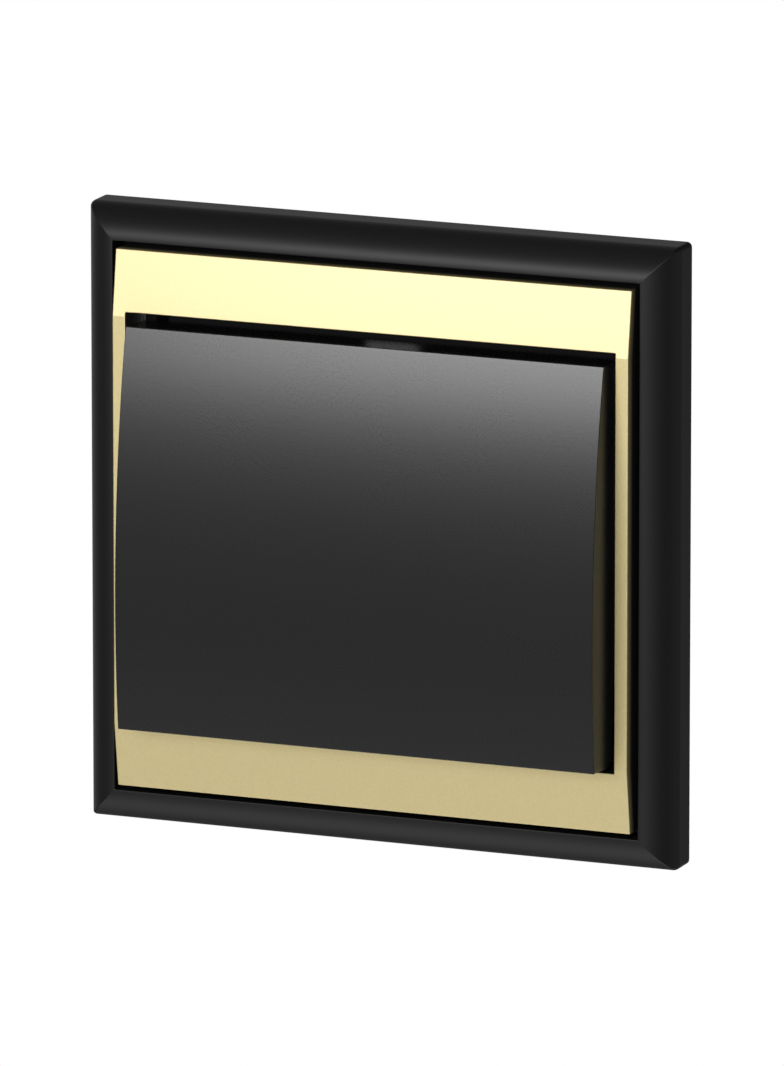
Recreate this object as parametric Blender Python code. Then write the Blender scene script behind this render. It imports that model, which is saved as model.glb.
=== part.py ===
"""Flush wall switch with one wide rocker, a mitred outer frame and a metallic insert.

Metres. X is right, Z is up and the front faces -Y. The wall plane is Y = 0 and the origin is the
switch's centre on it. The rocker rests with its top pressed in.
"""

import math

import bmesh
import bpy
from mathutils import Matrix, Vector

MM = 0.001

# ---- driving dimensions ------------------------------------------------------------------------
GAP = 0.3 * MM                       # clearance between pieces that touch

FRAME_HALF = 42.5 * MM               # outer frame, half its width and height
FRAME_OPENING_HALF = 37.89 * MM
FRAME_FRONT_Y = -7.5 * MM
FRAME_SIDE_Y = -3.6 * MM             # where the straight side ends and the curve starts
FRAME_CURVE_POWER = 1.8              # superellipse power of the border's curve
FRAME_CURVE_STEPS = 8
FRAME_FLAT = 0.2 * MM                # flat land beside the opening
FRAME_LEDGE_HALF = 36.6 * MM         # inner ledge under the insert
FRAME_LEDGE_BACK_Y = -2.0 * MM
FRAME_SHELF_X = (35.3 * MM, 36.8 * MM)  # the ledge reaches further in at the left and right
FRAME_SHELF_HALF_Z = 33.0 * MM
FRAME_CHANNEL_HALF = (39.1 * MM, 40.8 * MM)  # open channel behind the border
FRAME_CHANNEL_Y = (-5.8 * MM, -4.6 * MM)

INSERT_HALF_X = 37.11 * MM
INSERT_HALF_Z = 37.02 * MM
INSERT_EDGE_Y = -8.22 * MM           # front at the top and bottom edges
INSERT_RIDGE_Z = 28.04 * MM          # where the bands start to slope
INSERT_RIDGE_Y = -9.48 * MM
INSERT_BACK_Y = -3.5 * MM
OPENING_HALF_X = 35.25 * MM
OPENING_HALF_Z = 28.63 * MM

PIVOT_Y = -5.0 * MM                  # rocker axis, along X
ROCKER_TILT = math.radians(3.3)      # either side of level
ROCKER_HALF_X = 34.39 * MM
ROCKER_HALF_Z = 27.42 * MM
ROCKER_DROP = 0.69 * MM              # the key sits this much low on its cradle
ROCKER_EDGE_Y = -7.94 * MM           # from the pivot, level
ROCKER_CROWN = 2.12 * MM
ROCKER_SKIRT_Y = -1.5 * MM
ROCKER_SHELL = 2.0 * MM
ROCKER_SKIRT = 1.6 * MM
ROCKER_ARC_STEPS = 16

PLATE_HALF = 35.0 * MM
PLATE_THICKNESS = 1.2 * MM
PLATE_RIM_RISE = 1.8 * MM            # the raised rim that the insert's legs hook behind
PLATE_RECESS = 0.6 * MM              # the middle is drawn forward for the housing
PLATE_RECESS_HALF = 21.6 * MM
FIXING_SPACING = 60.0 * MM           # wall box screws
FIXING_SLOT = (9.0 * MM, 3.8 * MM)   # length, width

HOUSING_HALF = 20.5 * MM
HOUSING_CHAMFER = 4.5 * MM
CAVITY_HALF = 18.0 * MM
CAVITY_CHAMFER = 7.5 * MM
FLOOR_FRONT_Y = 22.4 * MM
HOUSING_BACK_Y = 24.4 * MM
COVER_HALF = 20.0 * MM
COVER_FRONT_Y = -3.2 * MM
COVER_SCREW = 16.25 * MM             # from the centre along X and along Z

SEESAW_Y = 17.0 * MM                 # contact seesaw axis, along X
SEESAW_RATIO = 1.5                   # seesaw turn per rocker turn
SEESAW_HALF = (3.0 * MM, 0.5 * MM, 13.5 * MM)
TIP_Z = 11.5 * MM
STRIP_Y = (21.1 * MM, 22.1 * MM)     # contact strips on the housing's floor
BAR_X = (6.0 * MM, 7.0 * MM)         # terminal bars, from the centre
BAR_FRONT_Y = 9.0 * MM
# name, side along X, centre along Z of each terminal
TERMINALS = (("common", -1, 0.0), ("upper", 1, 8.6 * MM), ("lower", 1, -8.6 * MM))
WIRE_HOLE_X = 9.0 * MM
WIRE_HOLE_STEP = 3.0 * MM
WIRE_HOLE_RADIUS = 1.4 * MM

CLAW_AXIS = (22.0 * MM, 14.0 * MM)   # X from the centre, Y
CLAW_SCREW_X = 25.0 * MM
CLAW_SCREW_RADIUS = 1.3 * MM

COLOURS = {  # colour, roughness, metallic
    "black_plastic": ((0.016, 0.016, 0.017, 1.0), 0.42, 0.0),
    "rocker_plastic": ((0.022, 0.022, 0.024, 1.0), 0.5, 0.0),
    "gold_lacquer": ((0.66, 0.56, 0.38, 1.0), 0.4, 0.7),
    "zinc_steel": ((0.55, 0.55, 0.53, 1.0), 0.4, 1.0),
    "black_coated_steel": ((0.02, 0.02, 0.02, 1.0), 0.5, 0.0),
    "grey_plastic": ((0.30, 0.31, 0.32, 1.0), 0.55, 0.0),
    "white_plastic": ((0.75, 0.75, 0.72, 1.0), 0.5, 0.0),
    "orange_plastic": ((0.75, 0.25, 0.05, 1.0), 0.45, 0.0),
    "brass": ((0.68, 0.50, 0.22, 1.0), 0.35, 1.0),
    "silver_contact": ((0.80, 0.79, 0.76, 1.0), 0.3, 1.0),
    "spring_steel": ((0.50, 0.50, 0.50, 1.0), 0.3, 1.0),
}


# ---- modelling helpers -------------------------------------------------------------------------
def clear_scene():
    for obj in list(bpy.data.objects):
        bpy.data.objects.remove(obj, do_unlink=True)


def make_material(name):
    colour, roughness, metallic = COLOURS[name]
    material = bpy.data.materials.new(name)
    material.use_nodes = True
    shader = material.node_tree.nodes["Principled BSDF"]
    shader.inputs["Base Color"].default_value = colour
    shader.inputs["Roughness"].default_value = roughness
    shader.inputs["Metallic"].default_value = metallic
    material.diffuse_color = colour
    return material


def add_box(bm, x, y, z):
    """A box from three (low, high) pairs."""
    size = [pair[1] - pair[0] for pair in (x, y, z)]
    middle = [(pair[1] + pair[0]) / 2 for pair in (x, y, z)]
    matrix = Matrix.Translation(middle) @ Matrix.Diagonal((*size, 1.0))
    bmesh.ops.create_cube(bm, size=1.0, matrix=matrix)


def add_prism(bm, outline, axis, start, end):
    """An outline swept along X, Y or Z. It lists the other two coordinates, in X, Y, Z order."""
    def place(point, along):
        first, second = point
        if axis == "X":
            return along, first, second
        if axis == "Y":
            return first, along, second
        return first, second, along

    near = [bm.verts.new(place(point, start)) for point in outline]
    far = [bm.verts.new(place(point, end)) for point in outline]
    faces = [bm.faces.new(near), bm.faces.new(list(reversed(far)))]
    count = len(outline)
    for i in range(count):
        j = (i + 1) % count
        faces.append(bm.faces.new((near[i], far[i], far[j], near[j])))
    bmesh.ops.recalc_face_normals(bm, faces=faces)


def circle(centre, radius, sides):
    """Outline of a round, as (first, second) points."""
    turns = [2 * math.pi * (i + 0.5) / sides for i in range(sides)]
    return [(centre[0] + radius * math.cos(t), centre[1] + radius * math.sin(t)) for t in turns]


def octagon(half, chamfer):
    edge = half - chamfer
    quarter = [(half, edge), (edge, half)]
    points = []
    for turn in range(4):
        cos, sin = (1, 0, -1, 0)[turn], (0, 1, 0, -1)[turn]
        points += [(x * cos - z * sin, x * sin + z * cos) for x, z in quarter]
    return points


def slot_outline(centre, length, width, along_first):
    """A slot with round ends, its length along the first or the second coordinate."""
    radius, reach, points = width / 2, (length - width) / 2, []
    for i in range(12):
        angle = math.pi * (i if i < 6 else i - 1) / 5
        a = radius * math.sin(angle) + (reach if i < 6 else -reach)
        b = radius * math.cos(angle)
        points.append((centre[0] + (a if along_first else b), centre[1] + (b if along_first else a)))
    return points


def add_mitred_ring(bm, profile):
    """A closed (half width, y) profile run round a square with mitred corners."""
    loops = []
    for half, y in profile:
        corners = ((half, half), (-half, half), (-half, -half), (half, -half))
        loops.append([bm.verts.new((x, y, z)) for x, z in corners])
    faces = []
    for i, loop in enumerate(loops):
        following = loops[(i + 1) % len(loops)]
        for k in range(4):
            n = (k + 1) % 4
            faces.append(bm.faces.new((loop[k], loop[n], following[n], following[k])))
    bmesh.ops.recalc_face_normals(bm, faces=faces)


def add_turned(bm, profile, sides):
    """A (radius, y) profile turned about the Y axis. Its two ends lie on the axis."""
    rings = []
    for radius, y in profile[1:-1]:
        turns = [2 * math.pi * i / sides for i in range(sides)]
        rings.append([bm.verts.new((radius * math.cos(t), y, radius * math.sin(t))) for t in turns])
    first = bm.verts.new((0.0, profile[0][1], 0.0))
    last = bm.verts.new((0.0, profile[-1][1], 0.0))
    faces = []
    for k in range(sides):
        n = (k + 1) % sides
        faces.append(bm.faces.new((first, rings[0][n], rings[0][k])))
        faces.append(bm.faces.new((last, rings[-1][k], rings[-1][n])))
        for near, far in zip(rings, rings[1:]):
            faces.append(bm.faces.new((near[k], near[n], far[n], far[k])))
    bmesh.ops.recalc_face_normals(bm, faces=faces)


def make_object(name, bm, material=None, origin=(0.0, 0.0, 0.0), parent=None):
    """An object from a bmesh, its origin moved to the given point. A parent's pieces are local to it."""
    bmesh.ops.translate(bm, verts=bm.verts, vec=-Vector(origin))
    mesh = bpy.data.meshes.new(name)
    bm.to_mesh(mesh)
    bm.free()
    mesh.shade_smooth()
    mesh.set_sharp_from_angle(angle=math.radians(32))
    obj = bpy.data.objects.new(name, mesh)
    obj.location = origin
    obj.parent = parent
    if material:
        mesh.materials.append(material)
    bpy.context.collection.objects.link(obj)
    return obj


def combine(target, bm, operation, parent=None):
    """A Boolean with a tool shape, which stays in the scene as a wire guide."""
    tool = make_object(f"{target.name}_{operation.lower()}_{len(target.modifiers)}", bm, parent=parent)
    tool.hide_render = True
    tool.display_type = "WIRE"
    modifier = target.modifiers.new(operation.title(), "BOOLEAN")
    modifier.operation = operation
    modifier.object = tool
    return tool


def soften(target, width, segments=1, angle=40):
    modifier = target.modifiers.new("Bevel", "BEVEL")
    modifier.width = width
    modifier.segments = segments
    modifier.limit_method = "ANGLE"
    modifier.angle_limit = math.radians(angle)


def mirrored(pair, side):
    """A (low, high) pair, or its mirror image for side -1."""
    return tuple(sorted(side * value for value in pair))


def ribbon(path, thickness):
    """Closed outline of a strip that follows a path of points."""
    left, right = [], []
    for i, point in enumerate(path):
        before = Vector(path[max(i - 1, 0)])
        after = Vector(path[min(i + 1, len(path) - 1)])
        along = (after - before).normalized()
        normal = Vector((-along.y, along.x)) * thickness / 2
        left.append(tuple(Vector(point) + normal))
        right.append(tuple(Vector(point) - normal))
    return left + right[::-1]


# ---- frame, insert and plate -------------------------------------------------------------------
def make_outer_frame(material):
    width = FRAME_HALF - FRAME_OPENING_HALF - FRAME_FLAT
    height = FRAME_SIDE_Y - FRAME_FRONT_Y
    profile = [(FRAME_HALF, 0.0)]
    for i in range(FRAME_CURVE_STEPS + 1):
        angle = math.pi / 2 * i / FRAME_CURVE_STEPS
        across = math.cos(angle) ** (2 / FRAME_CURVE_POWER)
        rise = math.sin(angle) ** (2 / FRAME_CURVE_POWER)
        profile.append((FRAME_HALF - width * (1 - across), FRAME_SIDE_Y - height * rise))
    ledge_front, ledge_back = INSERT_BACK_Y + GAP, FRAME_LEDGE_BACK_Y
    channel_inner, channel_outer = FRAME_CHANNEL_HALF
    profile += [
        (FRAME_OPENING_HALF, FRAME_FRONT_Y),
        (FRAME_OPENING_HALF, ledge_front),
        (FRAME_LEDGE_HALF, ledge_front),
        (FRAME_LEDGE_HALF, ledge_back),
        (channel_inner, ledge_back),
        (channel_inner, FRAME_CHANNEL_Y[0]),
        (channel_outer, FRAME_CHANNEL_Y[1]),
        (channel_outer, 0.0),
    ]
    bm = bmesh.new()
    add_mitred_ring(bm, profile)
    frame = make_object("outer_frame", bm, material)

    bm = bmesh.new()
    shelf_y = (ledge_front + 0.1 * MM, ledge_back - 0.1 * MM)
    for side in (-1, 1):
        add_box(bm, mirrored(FRAME_SHELF_X, side), shelf_y, (-FRAME_SHELF_HALF_Z, FRAME_SHELF_HALF_Z))
    combine(frame, bm, "UNION").name = "outer_frame_shelves"
    return frame


def make_trim_insert(material):
    outline = [
        (INSERT_BACK_Y, -INSERT_HALF_Z),
        (INSERT_EDGE_Y, -INSERT_HALF_Z),
        (INSERT_RIDGE_Y, -INSERT_RIDGE_Z),
        (INSERT_RIDGE_Y, INSERT_RIDGE_Z),
        (INSERT_EDGE_Y, INSERT_HALF_Z),
        (INSERT_BACK_Y, INSERT_HALF_Z),
    ]
    bm = bmesh.new()
    add_prism(bm, outline, "X", -INSERT_HALF_X, INSERT_HALF_X)
    insert = make_object("trim_insert", bm, material)
    soften(insert, 0.25 * MM)

    pocket_front, outer_wall_z, inner_wall_z = -6.9 * MM, 35.7 * MM, 30.0 * MM
    bm = bmesh.new()
    add_box(bm, (-OPENING_HALF_X, OPENING_HALF_X), (-15 * MM, 0.0), (-OPENING_HALF_Z, OPENING_HALF_Z))
    for side in (-1, 1):
        depth = mirrored((inner_wall_z, outer_wall_z), side)
        for middle in (-18 * MM, 18 * MM):
            add_box(bm, (middle - 17 * MM, middle + 17 * MM), (pocket_front, 0.0), depth)
    combine(insert, bm, "DIFFERENCE")

    # snap legs: they drop from the outer wall and hook behind the support plate's raised rim
    leg_x, leg_half = 18 * MM, 4 * MM
    leg_z = (PLATE_HALF + GAP, PLATE_HALF + GAP + 1 * MM)
    hook_z = (34.3 * MM, leg_z[0] + 0.4 * MM)
    for name, span, depth in (
        ("leg", leg_z, (-6.0 * MM, -0.5 * MM)),
        ("hook", hook_z, (-1.5 * MM, -0.5 * MM)),
    ):
        bm = bmesh.new()
        for side in (-1, 1):
            for middle in (-leg_x, leg_x):
                add_box(bm, (middle - leg_half, middle + leg_half), depth, mirrored(span, side))
        combine(insert, bm, "UNION").name = f"trim_insert_{name}s"
    return insert


def make_support_plate(material):
    raised_front = -PLATE_THICKNESS - PLATE_RIM_RISE
    slope = 0.5 * MM
    profile = [
        (12 * MM, -PLATE_THICKNESS - PLATE_RECESS),
        (PLATE_RECESS_HALF, -PLATE_THICKNESS - PLATE_RECESS),
        (PLATE_RECESS_HALF + slope, -PLATE_THICKNESS),
        (32.4 * MM, -PLATE_THICKNESS),
        (33.4 * MM, raised_front),
        (PLATE_HALF, raised_front),
        (PLATE_HALF, -PLATE_RIM_RISE),
        (33.9 * MM, -PLATE_RIM_RISE),
        (32.9 * MM, 0.0),
        (PLATE_RECESS_HALF + slope, 0.0),
        (PLATE_RECESS_HALF, -PLATE_RECESS),
        (12 * MM, -PLATE_RECESS),
    ]
    bm = bmesh.new()
    add_mitred_ring(bm, profile)
    plate = make_object("support_plate", bm, material)
    bm = bmesh.new()
    through = (-5 * MM, 2 * MM)
    add_prism(bm, octagon(CAVITY_HALF, CAVITY_CHAMFER), "Y", *through)
    for side in (-1, 1):
        at = side * FIXING_SPACING / 2
        add_prism(bm, slot_outline((at, 0.0), *FIXING_SLOT, along_first=False), "Y", *through)
        add_prism(bm, slot_outline((0.0, at), *FIXING_SLOT, along_first=True), "Y", *through)
        add_prism(bm, circle((side * CLAW_SCREW_X, 0.0), CLAW_SCREW_RADIUS + GAP, 16), "Y", *through)
        add_prism(bm, circle((side * COVER_SCREW, side * COVER_SCREW), 1.5 * MM, 12), "Y", *through)
        for corner in (-1, 1):
            outer, inner = PLATE_HALF + 0.5 * MM, PLATE_HALF - 3.5 * MM
            points = [(side * outer, corner * inner), (side * outer, corner * outer)]
            points.append((side * inner, corner * outer))
            add_prism(bm, points, "Y", *through)
    combine(plate, bm, "DIFFERENCE")
    return plate


# ---- rocker and what tilts with it; local to the pivot, level ---------------------------------
def arched(half_z, edge_y, crown):
    """Points of the rocker's arched front, from the bottom up."""
    radius = (half_z ** 2 + crown ** 2) / (2 * crown)
    reach = math.asin(half_z / radius)
    points = []
    for i in range(ROCKER_ARC_STEPS + 1):
        angle = reach * (2 * i / ROCKER_ARC_STEPS - 1)
        sag = radius * math.cos(angle) - radius * math.cos(reach)
        points.append((edge_y - sag, radius * math.sin(angle) - ROCKER_DROP))
    return points


def make_rocker(material, pivot):
    bm = bmesh.new()
    low, high = -ROCKER_HALF_Z - ROCKER_DROP, ROCKER_HALF_Z - ROCKER_DROP
    outline = arched(ROCKER_HALF_Z, ROCKER_EDGE_Y, ROCKER_CROWN)
    outline += [(ROCKER_SKIRT_Y, high), (ROCKER_SKIRT_Y, low)]
    add_prism(bm, outline, "X", -ROCKER_HALF_X, ROCKER_HALF_X)
    rocker = make_object("rocker", bm, material, parent=pivot)
    soften(rocker, 0.45 * MM, segments=2)

    bm = bmesh.new()
    inside = arched(ROCKER_HALF_Z - ROCKER_SKIRT, ROCKER_EDGE_Y + ROCKER_SHELL, ROCKER_CROWN)
    inside += [(1 * MM, high - ROCKER_SKIRT), (1 * MM, low + ROCKER_SKIRT)]
    add_prism(bm, inside, "X", ROCKER_SKIRT - ROCKER_HALF_X, ROCKER_HALF_X - ROCKER_SKIRT)
    combine(rocker, bm, "DIFFERENCE", pivot)

    # four clip legs, with hooks that close behind the cradle's edges
    for name, span, depth in (
        ("leg", (14.3 * MM, 15.7 * MM), (-8.4 * MM, -1.2 * MM)),
        ("hook", (13.5 * MM, 14.6 * MM), (-2.2 * MM, -1.2 * MM)),
    ):
        bm = bmesh.new()
        for side in (-1, 1):
            for middle in (-8 * MM, 8 * MM):
                add_box(bm, (middle - 3 * MM, middle + 3 * MM), depth, mirrored(span, side))
        combine(rocker, bm, "UNION", pivot).name = f"rocker_{name}s"
    return rocker


def make_rocker_cradle(material, pivot):
    plate_y = (-4.0 * MM, -2.5 * MM)
    bm = bmesh.new()
    add_box(bm, (-15 * MM, 15 * MM), plate_y, (-14 * MM, 14 * MM))
    cradle = make_object("rocker_cradle", bm, material, parent=pivot)

    bm = bmesh.new()
    add_prism(bm, circle((0.0, 0.0), 4 * MM, 20), "Y", plate_y[1] - 0.5 * MM, 15 * MM)
    for side in (-1, 1):
        wall_x, wall_y = mirrored((13.2 * MM, 15 * MM), side), (plate_y[1] - 0.5 * MM, 1 * MM)
        add_box(bm, wall_x, wall_y, (-5 * MM, 5 * MM))
    combine(cradle, bm, "UNION", pivot)
    bm = bmesh.new()
    for side in (-1, 1):
        add_prism(bm, circle((0.0, 0.0), 1.3 * MM, 14), "X", *mirrored((14 * MM, 18.2 * MM), side))
    combine(cradle, bm, "UNION", pivot).name = "rocker_cradle_pins"
    bm = bmesh.new()
    add_prism(bm, circle((0.0, 0.0), 2.5 * MM, 20), "Y", -1.5 * MM, 16 * MM)
    for side in (-1, 1):
        add_box(bm, mirrored((6 * MM, 10.5 * MM), side), (-5 * MM, 0.0), (-9 * MM, 9 * MM))
    combine(cradle, bm, "DIFFERENCE", pivot)
    return cradle


def make_plunger(material, pivot):
    tip_centre, tip_radius, shank = 19.7 * MM, 1.5 * MM, 2.2 * MM
    profile = [(0.0, 8 * MM), (shank, 8 * MM), (shank, 16 * MM), (tip_radius, 18.6 * MM)]
    for i in range(5):
        angle = math.pi / 2 * i / 4
        profile.append((tip_radius * math.cos(angle), tip_centre + tip_radius * math.sin(angle)))
    bm = bmesh.new()
    add_turned(bm, profile, 16)
    return make_object("plunger", bm, material, parent=pivot)


def make_plunger_spring(material, pivot):
    """A round wire on a helix, from the barrel's closed end to the plunger's back."""
    turns, steps, sides = 7, 10, 5
    coil, wire, start, end = 1.75 * MM, 0.25 * MM, -0.9 * MM, 7.4 * MM
    bm, rings = bmesh.new(), []
    for i in range(turns * steps + 1):
        angle, share = 2 * math.pi * i / steps, i / (turns * steps)
        outward = Vector((math.cos(angle), 0.0, math.sin(angle)))
        centre = outward * coil + Vector((0.0, start + (end - start) * share, 0.0))
        ring = []
        for k in range(sides):
            around = 2 * math.pi * k / sides
            offset = outward * math.cos(around) + Vector((0.0, 1.0, 0.0)) * math.sin(around)
            ring.append(bm.verts.new(centre + offset * wire))
        rings.append(ring)
    for near, far in zip(rings, rings[1:]):
        for k in range(sides):
            n = (k + 1) % sides
            bm.faces.new((near[k], near[n], far[n], far[k]))
    bm.faces.new(rings[0])
    bm.faces.new(rings[-1])
    bmesh.ops.recalc_face_normals(bm, faces=bm.faces)
    return make_object("plunger_spring", bm, material, parent=pivot)


# ---- housing -----------------------------------------------------------------------------------
def make_housing_cover(material):
    flange_back = -PLATE_THICKNESS - PLATE_RECESS - GAP
    skirt = (flange_back - 0.4 * MM, 1.5 * MM)
    bm = bmesh.new()
    add_prism(bm, octagon(COVER_HALF, HOUSING_CHAMFER), "Y", COVER_FRONT_Y, flange_back)
    cover = make_object("housing_cover", bm, material)

    bm = bmesh.new()
    add_prism(bm, octagon(CAVITY_HALF - GAP, CAVITY_CHAMFER), "Y", *skirt)
    post_x, post_z = (15.4 * MM, 17.6 * MM), (-3.2 * MM, 3.2 * MM)
    for side in (-1, 1):
        add_box(bm, mirrored(post_x, side), (-8 * MM, skirt[0] - GAP), post_z)
    combine(cover, bm, "UNION")
    bm = bmesh.new()
    for side in (-1, 1):
        add_box(bm, mirrored(post_x, side), (-8 * MM, -2 * MM), post_z)
    combine(cover, bm, "UNION").name = "housing_cover_posts"

    bm = bmesh.new()
    add_prism(bm, octagon(CAVITY_HALF - 1.6 * MM, CAVITY_CHAMFER), "Y", flange_back, 3 * MM)
    for side in (-1, 1):
        bore = circle((PIVOT_Y, 0.0), 1.3 * MM + GAP, 16)
        add_prism(bm, bore, "X", *mirrored((14 * MM, 19 * MM), side))
        hole = circle((side * COVER_SCREW, side * COVER_SCREW), 1.1 * MM + GAP, 12)
        add_prism(bm, hole, "Y", -4 * MM, 3 * MM)
    combine(cover, bm, "DIFFERENCE")
    bm = bmesh.new()
    add_box(bm, (-5.5 * MM, 5.5 * MM), (-4 * MM, 3 * MM), (-6 * MM, 6 * MM))
    for side in (-1, 1):
        add_box(bm, mirrored((14 * MM, 19 * MM), side), (-9 * MM, PIVOT_Y), (-1 * MM, 1 * MM))
    combine(cover, bm, "DIFFERENCE").name = "housing_cover_window"
    return cover


def make_base_housing(material):
    bm = bmesh.new()
    add_prism(bm, octagon(HOUSING_HALF, HOUSING_CHAMFER), "Y", GAP - PLATE_RECESS, HOUSING_BACK_Y)
    housing = make_object("base_housing", bm, material)
    soften(housing, 0.6 * MM)
    bm = bmesh.new()
    add_prism(bm, octagon(CAVITY_HALF, CAVITY_CHAMFER), "Y", -1 * MM, FLOOR_FRONT_Y)
    combine(housing, bm, "DIFFERENCE")

    # ribs between the contact chamber and the terminal chambers, and the claw lugs
    bm = bmesh.new()
    floor = FLOOR_FRONT_Y + 0.5 * MM
    for side in (-1, 1):
        add_box(bm, mirrored((4.5 * MM, 5.6 * MM), side), (7 * MM, floor), (-18.5 * MM, 18.5 * MM))
        for above in (-1, 1):
            lug_z = mirrored((6.4 * MM, 8 * MM), above)
            add_box(bm, mirrored((HOUSING_HALF - 1 * MM, 23.8 * MM), side), (12 * MM, 16 * MM), lug_z)
    combine(housing, bm, "UNION")
    bm = bmesh.new()
    add_box(bm, (5 * MM, 18.5 * MM), (9 * MM, floor), (-0.6 * MM, 0.6 * MM))
    combine(housing, bm, "UNION").name = "base_housing_barrier"

    bm = bmesh.new()
    past = HOUSING_BACK_Y + 1 * MM
    for _, side, middle in TERMINALS:
        for step in (-WIRE_HOLE_STEP, WIRE_HOLE_STEP):
            hole = circle((side * WIRE_HOLE_X, middle + step), WIRE_HOLE_RADIUS, 12)
            add_prism(bm, hole, "Y", FLOOR_FRONT_Y - 0.4 * MM, past)
        window = mirrored((7.7 * MM, 12.3 * MM), side)
        add_box(bm, window, (FLOOR_FRONT_Y - 0.4 * MM, past), (middle - 1.35 * MM, middle + 1.35 * MM))
    for side in (-1, 1):
        bore = circle((side * COVER_SCREW, side * COVER_SCREW), 1.1 * MM + GAP, 12)
        add_prism(bm, bore, "Y", -1 * MM, 13 * MM)
        pivot_hole = circle((side * CLAW_AXIS[0], CLAW_AXIS[1]), 0.9 * MM + GAP, 12)
        add_prism(bm, pivot_hole, "Z", -9 * MM, 9 * MM)
    strip = (STRIP_Y[0] - GAP, FLOOR_FRONT_Y)
    for low, high in ((8.5 * MM, 14.5 * MM), (-14.5 * MM, -8.5 * MM)):
        add_box(bm, (4 * MM, 6 * MM), strip, (low, high))
    add_box(bm, (-6 * MM, -4 * MM), strip, (-2.8 * MM, 2.8 * MM))
    combine(housing, bm, "DIFFERENCE")
    return housing


def make_cover_screw(name, side, material):
    front, back = COVER_FRONT_Y - GAP, 12 * MM
    profile = [(0.0, front - 1.6 * MM), (1.5 * MM, front - 1.6 * MM), (2.1 * MM, front - 1 * MM)]
    profile += [(2.1 * MM, front), (1.1 * MM, front), (1.1 * MM, back - 1.2 * MM)]
    profile += [(0.4 * MM, back), (0.0, back)]
    bm = bmesh.new()
    add_turned(bm, profile, 16)
    bmesh.ops.translate(bm, verts=bm.verts, vec=(side * COVER_SCREW, 0.0, side * COVER_SCREW))
    screw = make_object(name, bm, material, origin=(side * COVER_SCREW, 0.0, side * COVER_SCREW))
    cut_screw_slot(screw, side * COVER_SCREW, side * COVER_SCREW, front - 1.6 * MM, 0.5 * MM, 0.9 * MM)
    return screw


def cut_screw_slot(screw, x, z, front, width, depth):
    bm = bmesh.new()
    half = 4 * MM
    add_box(bm, (x - half, x + half), (front - 1 * MM, front + depth), (z - width / 2, z + width / 2))
    combine(screw, bm, "DIFFERENCE")


# ---- contacts and terminals --------------------------------------------------------------------
def make_seesaw(brass, silver):
    """The seesaw's own frame lies on its axis and is turned to the closed lower contact."""
    axis = bpy.data.objects.new("seesaw_axis", None)
    axis.location = (0.0, SEESAW_Y, 0.0)
    axis.rotation_euler = (ROCKER_TILT * SEESAW_RATIO, 0.0, 0.0)
    bpy.context.collection.objects.link(axis)
    half_x, half_y, half_z = SEESAW_HALF
    bm = bmesh.new()
    add_box(bm, (-half_x, half_x), (-half_y, half_y), (-half_z, half_z))
    seesaw = make_object("contact_seesaw", bm, brass, parent=axis)
    bm = bmesh.new()
    for side in (-1, 1):
        add_prism(bm, circle((0.0, side * TIP_Z), 1.1 * MM, 12), "Y", -1 * MM, 1 * MM)
    combine(seesaw, bm, "DIFFERENCE", axis)
    for name, side in (("moving_tip_upper", 1), ("moving_tip_lower", -1)):
        head, face = -half_y - GAP, half_y + GAP
        profile = [(0.0, head - 0.5 * MM), (1.3 * MM, head - 0.5 * MM), (1.6 * MM, head), (0.8 * MM, head)]
        profile += [(0.8 * MM, face), (2 * MM, face), (2 * MM, face + 0.6 * MM)]
        profile += [(1.5 * MM, face + 0.8 * MM), (0.0, face + 0.8 * MM)]
        bm = bmesh.new()
        add_turned(bm, profile, 14)
        bmesh.ops.translate(bm, verts=bm.verts, vec=(0.0, 0.0, side * TIP_Z))
        make_object(name, bm, silver, parent=axis)


def make_common_contact(material):
    bm = bmesh.new()
    add_box(bm, (-BAR_X[1], 4.1 * MM), STRIP_Y, (-2.5 * MM, 2.5 * MM))
    contact = make_object("common_contact", bm, material)
    bm = bmesh.new()
    base = STRIP_Y[0] + 0.3 * MM
    edge = [(SEESAW_Y + SEESAW_HALF[1] + 0.35 * MM, 0.0), (base, -1.6 * MM), (base, 1.6 * MM)]
    add_prism(bm, edge, "X", -2.5 * MM, 2.5 * MM)
    for side in (-1, 1):
        ear = mirrored((SEESAW_HALF[0] + GAP, 4.1 * MM), side)
        add_box(bm, ear, (15.8 * MM, base), (-1.6 * MM, 1.6 * MM))
    add_box(bm, mirrored(BAR_X, -1), (BAR_FRONT_Y, base), (-4.4 * MM, 4.4 * MM))
    combine(contact, bm, "UNION")


def make_fixed_contact(name, above, brass, silver):
    bar_z = mirrored((4.2 * MM, 13 * MM), above)
    bm = bmesh.new()
    add_box(bm, (-SEESAW_HALF[0], BAR_X[1]), STRIP_Y, mirrored((8.8 * MM, 13.9 * MM), above))
    contact = make_object(f"fixed_contact_{name}", bm, brass)
    bm = bmesh.new()
    add_box(bm, BAR_X, (BAR_FRONT_Y, STRIP_Y[0] + 0.3 * MM), bar_z)
    combine(contact, bm, "UNION")
    tip_z = above * 11.3 * MM
    bm = bmesh.new()
    add_prism(bm, circle((0.0, tip_z), 1.1 * MM, 12), "Y", STRIP_Y[0] - 1 * MM, STRIP_Y[1] + 1 * MM)
    combine(contact, bm, "DIFFERENCE")

    face = STRIP_Y[0] - GAP
    profile = [(0.0, face - 0.8 * MM), (1.5 * MM, face - 0.8 * MM), (2 * MM, face - 0.6 * MM)]
    profile += [(2 * MM, face), (0.8 * MM, face), (0.8 * MM, STRIP_Y[1] - 0.1 * MM)]
    profile.append((0.0, STRIP_Y[1] - 0.1 * MM))
    bm = bmesh.new()
    add_turned(bm, profile, 14)
    bmesh.ops.translate(bm, verts=bm.verts, vec=(0.0, 0.0, tip_z))
    make_object(f"fixed_tip_{name}", bm, silver)


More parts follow.
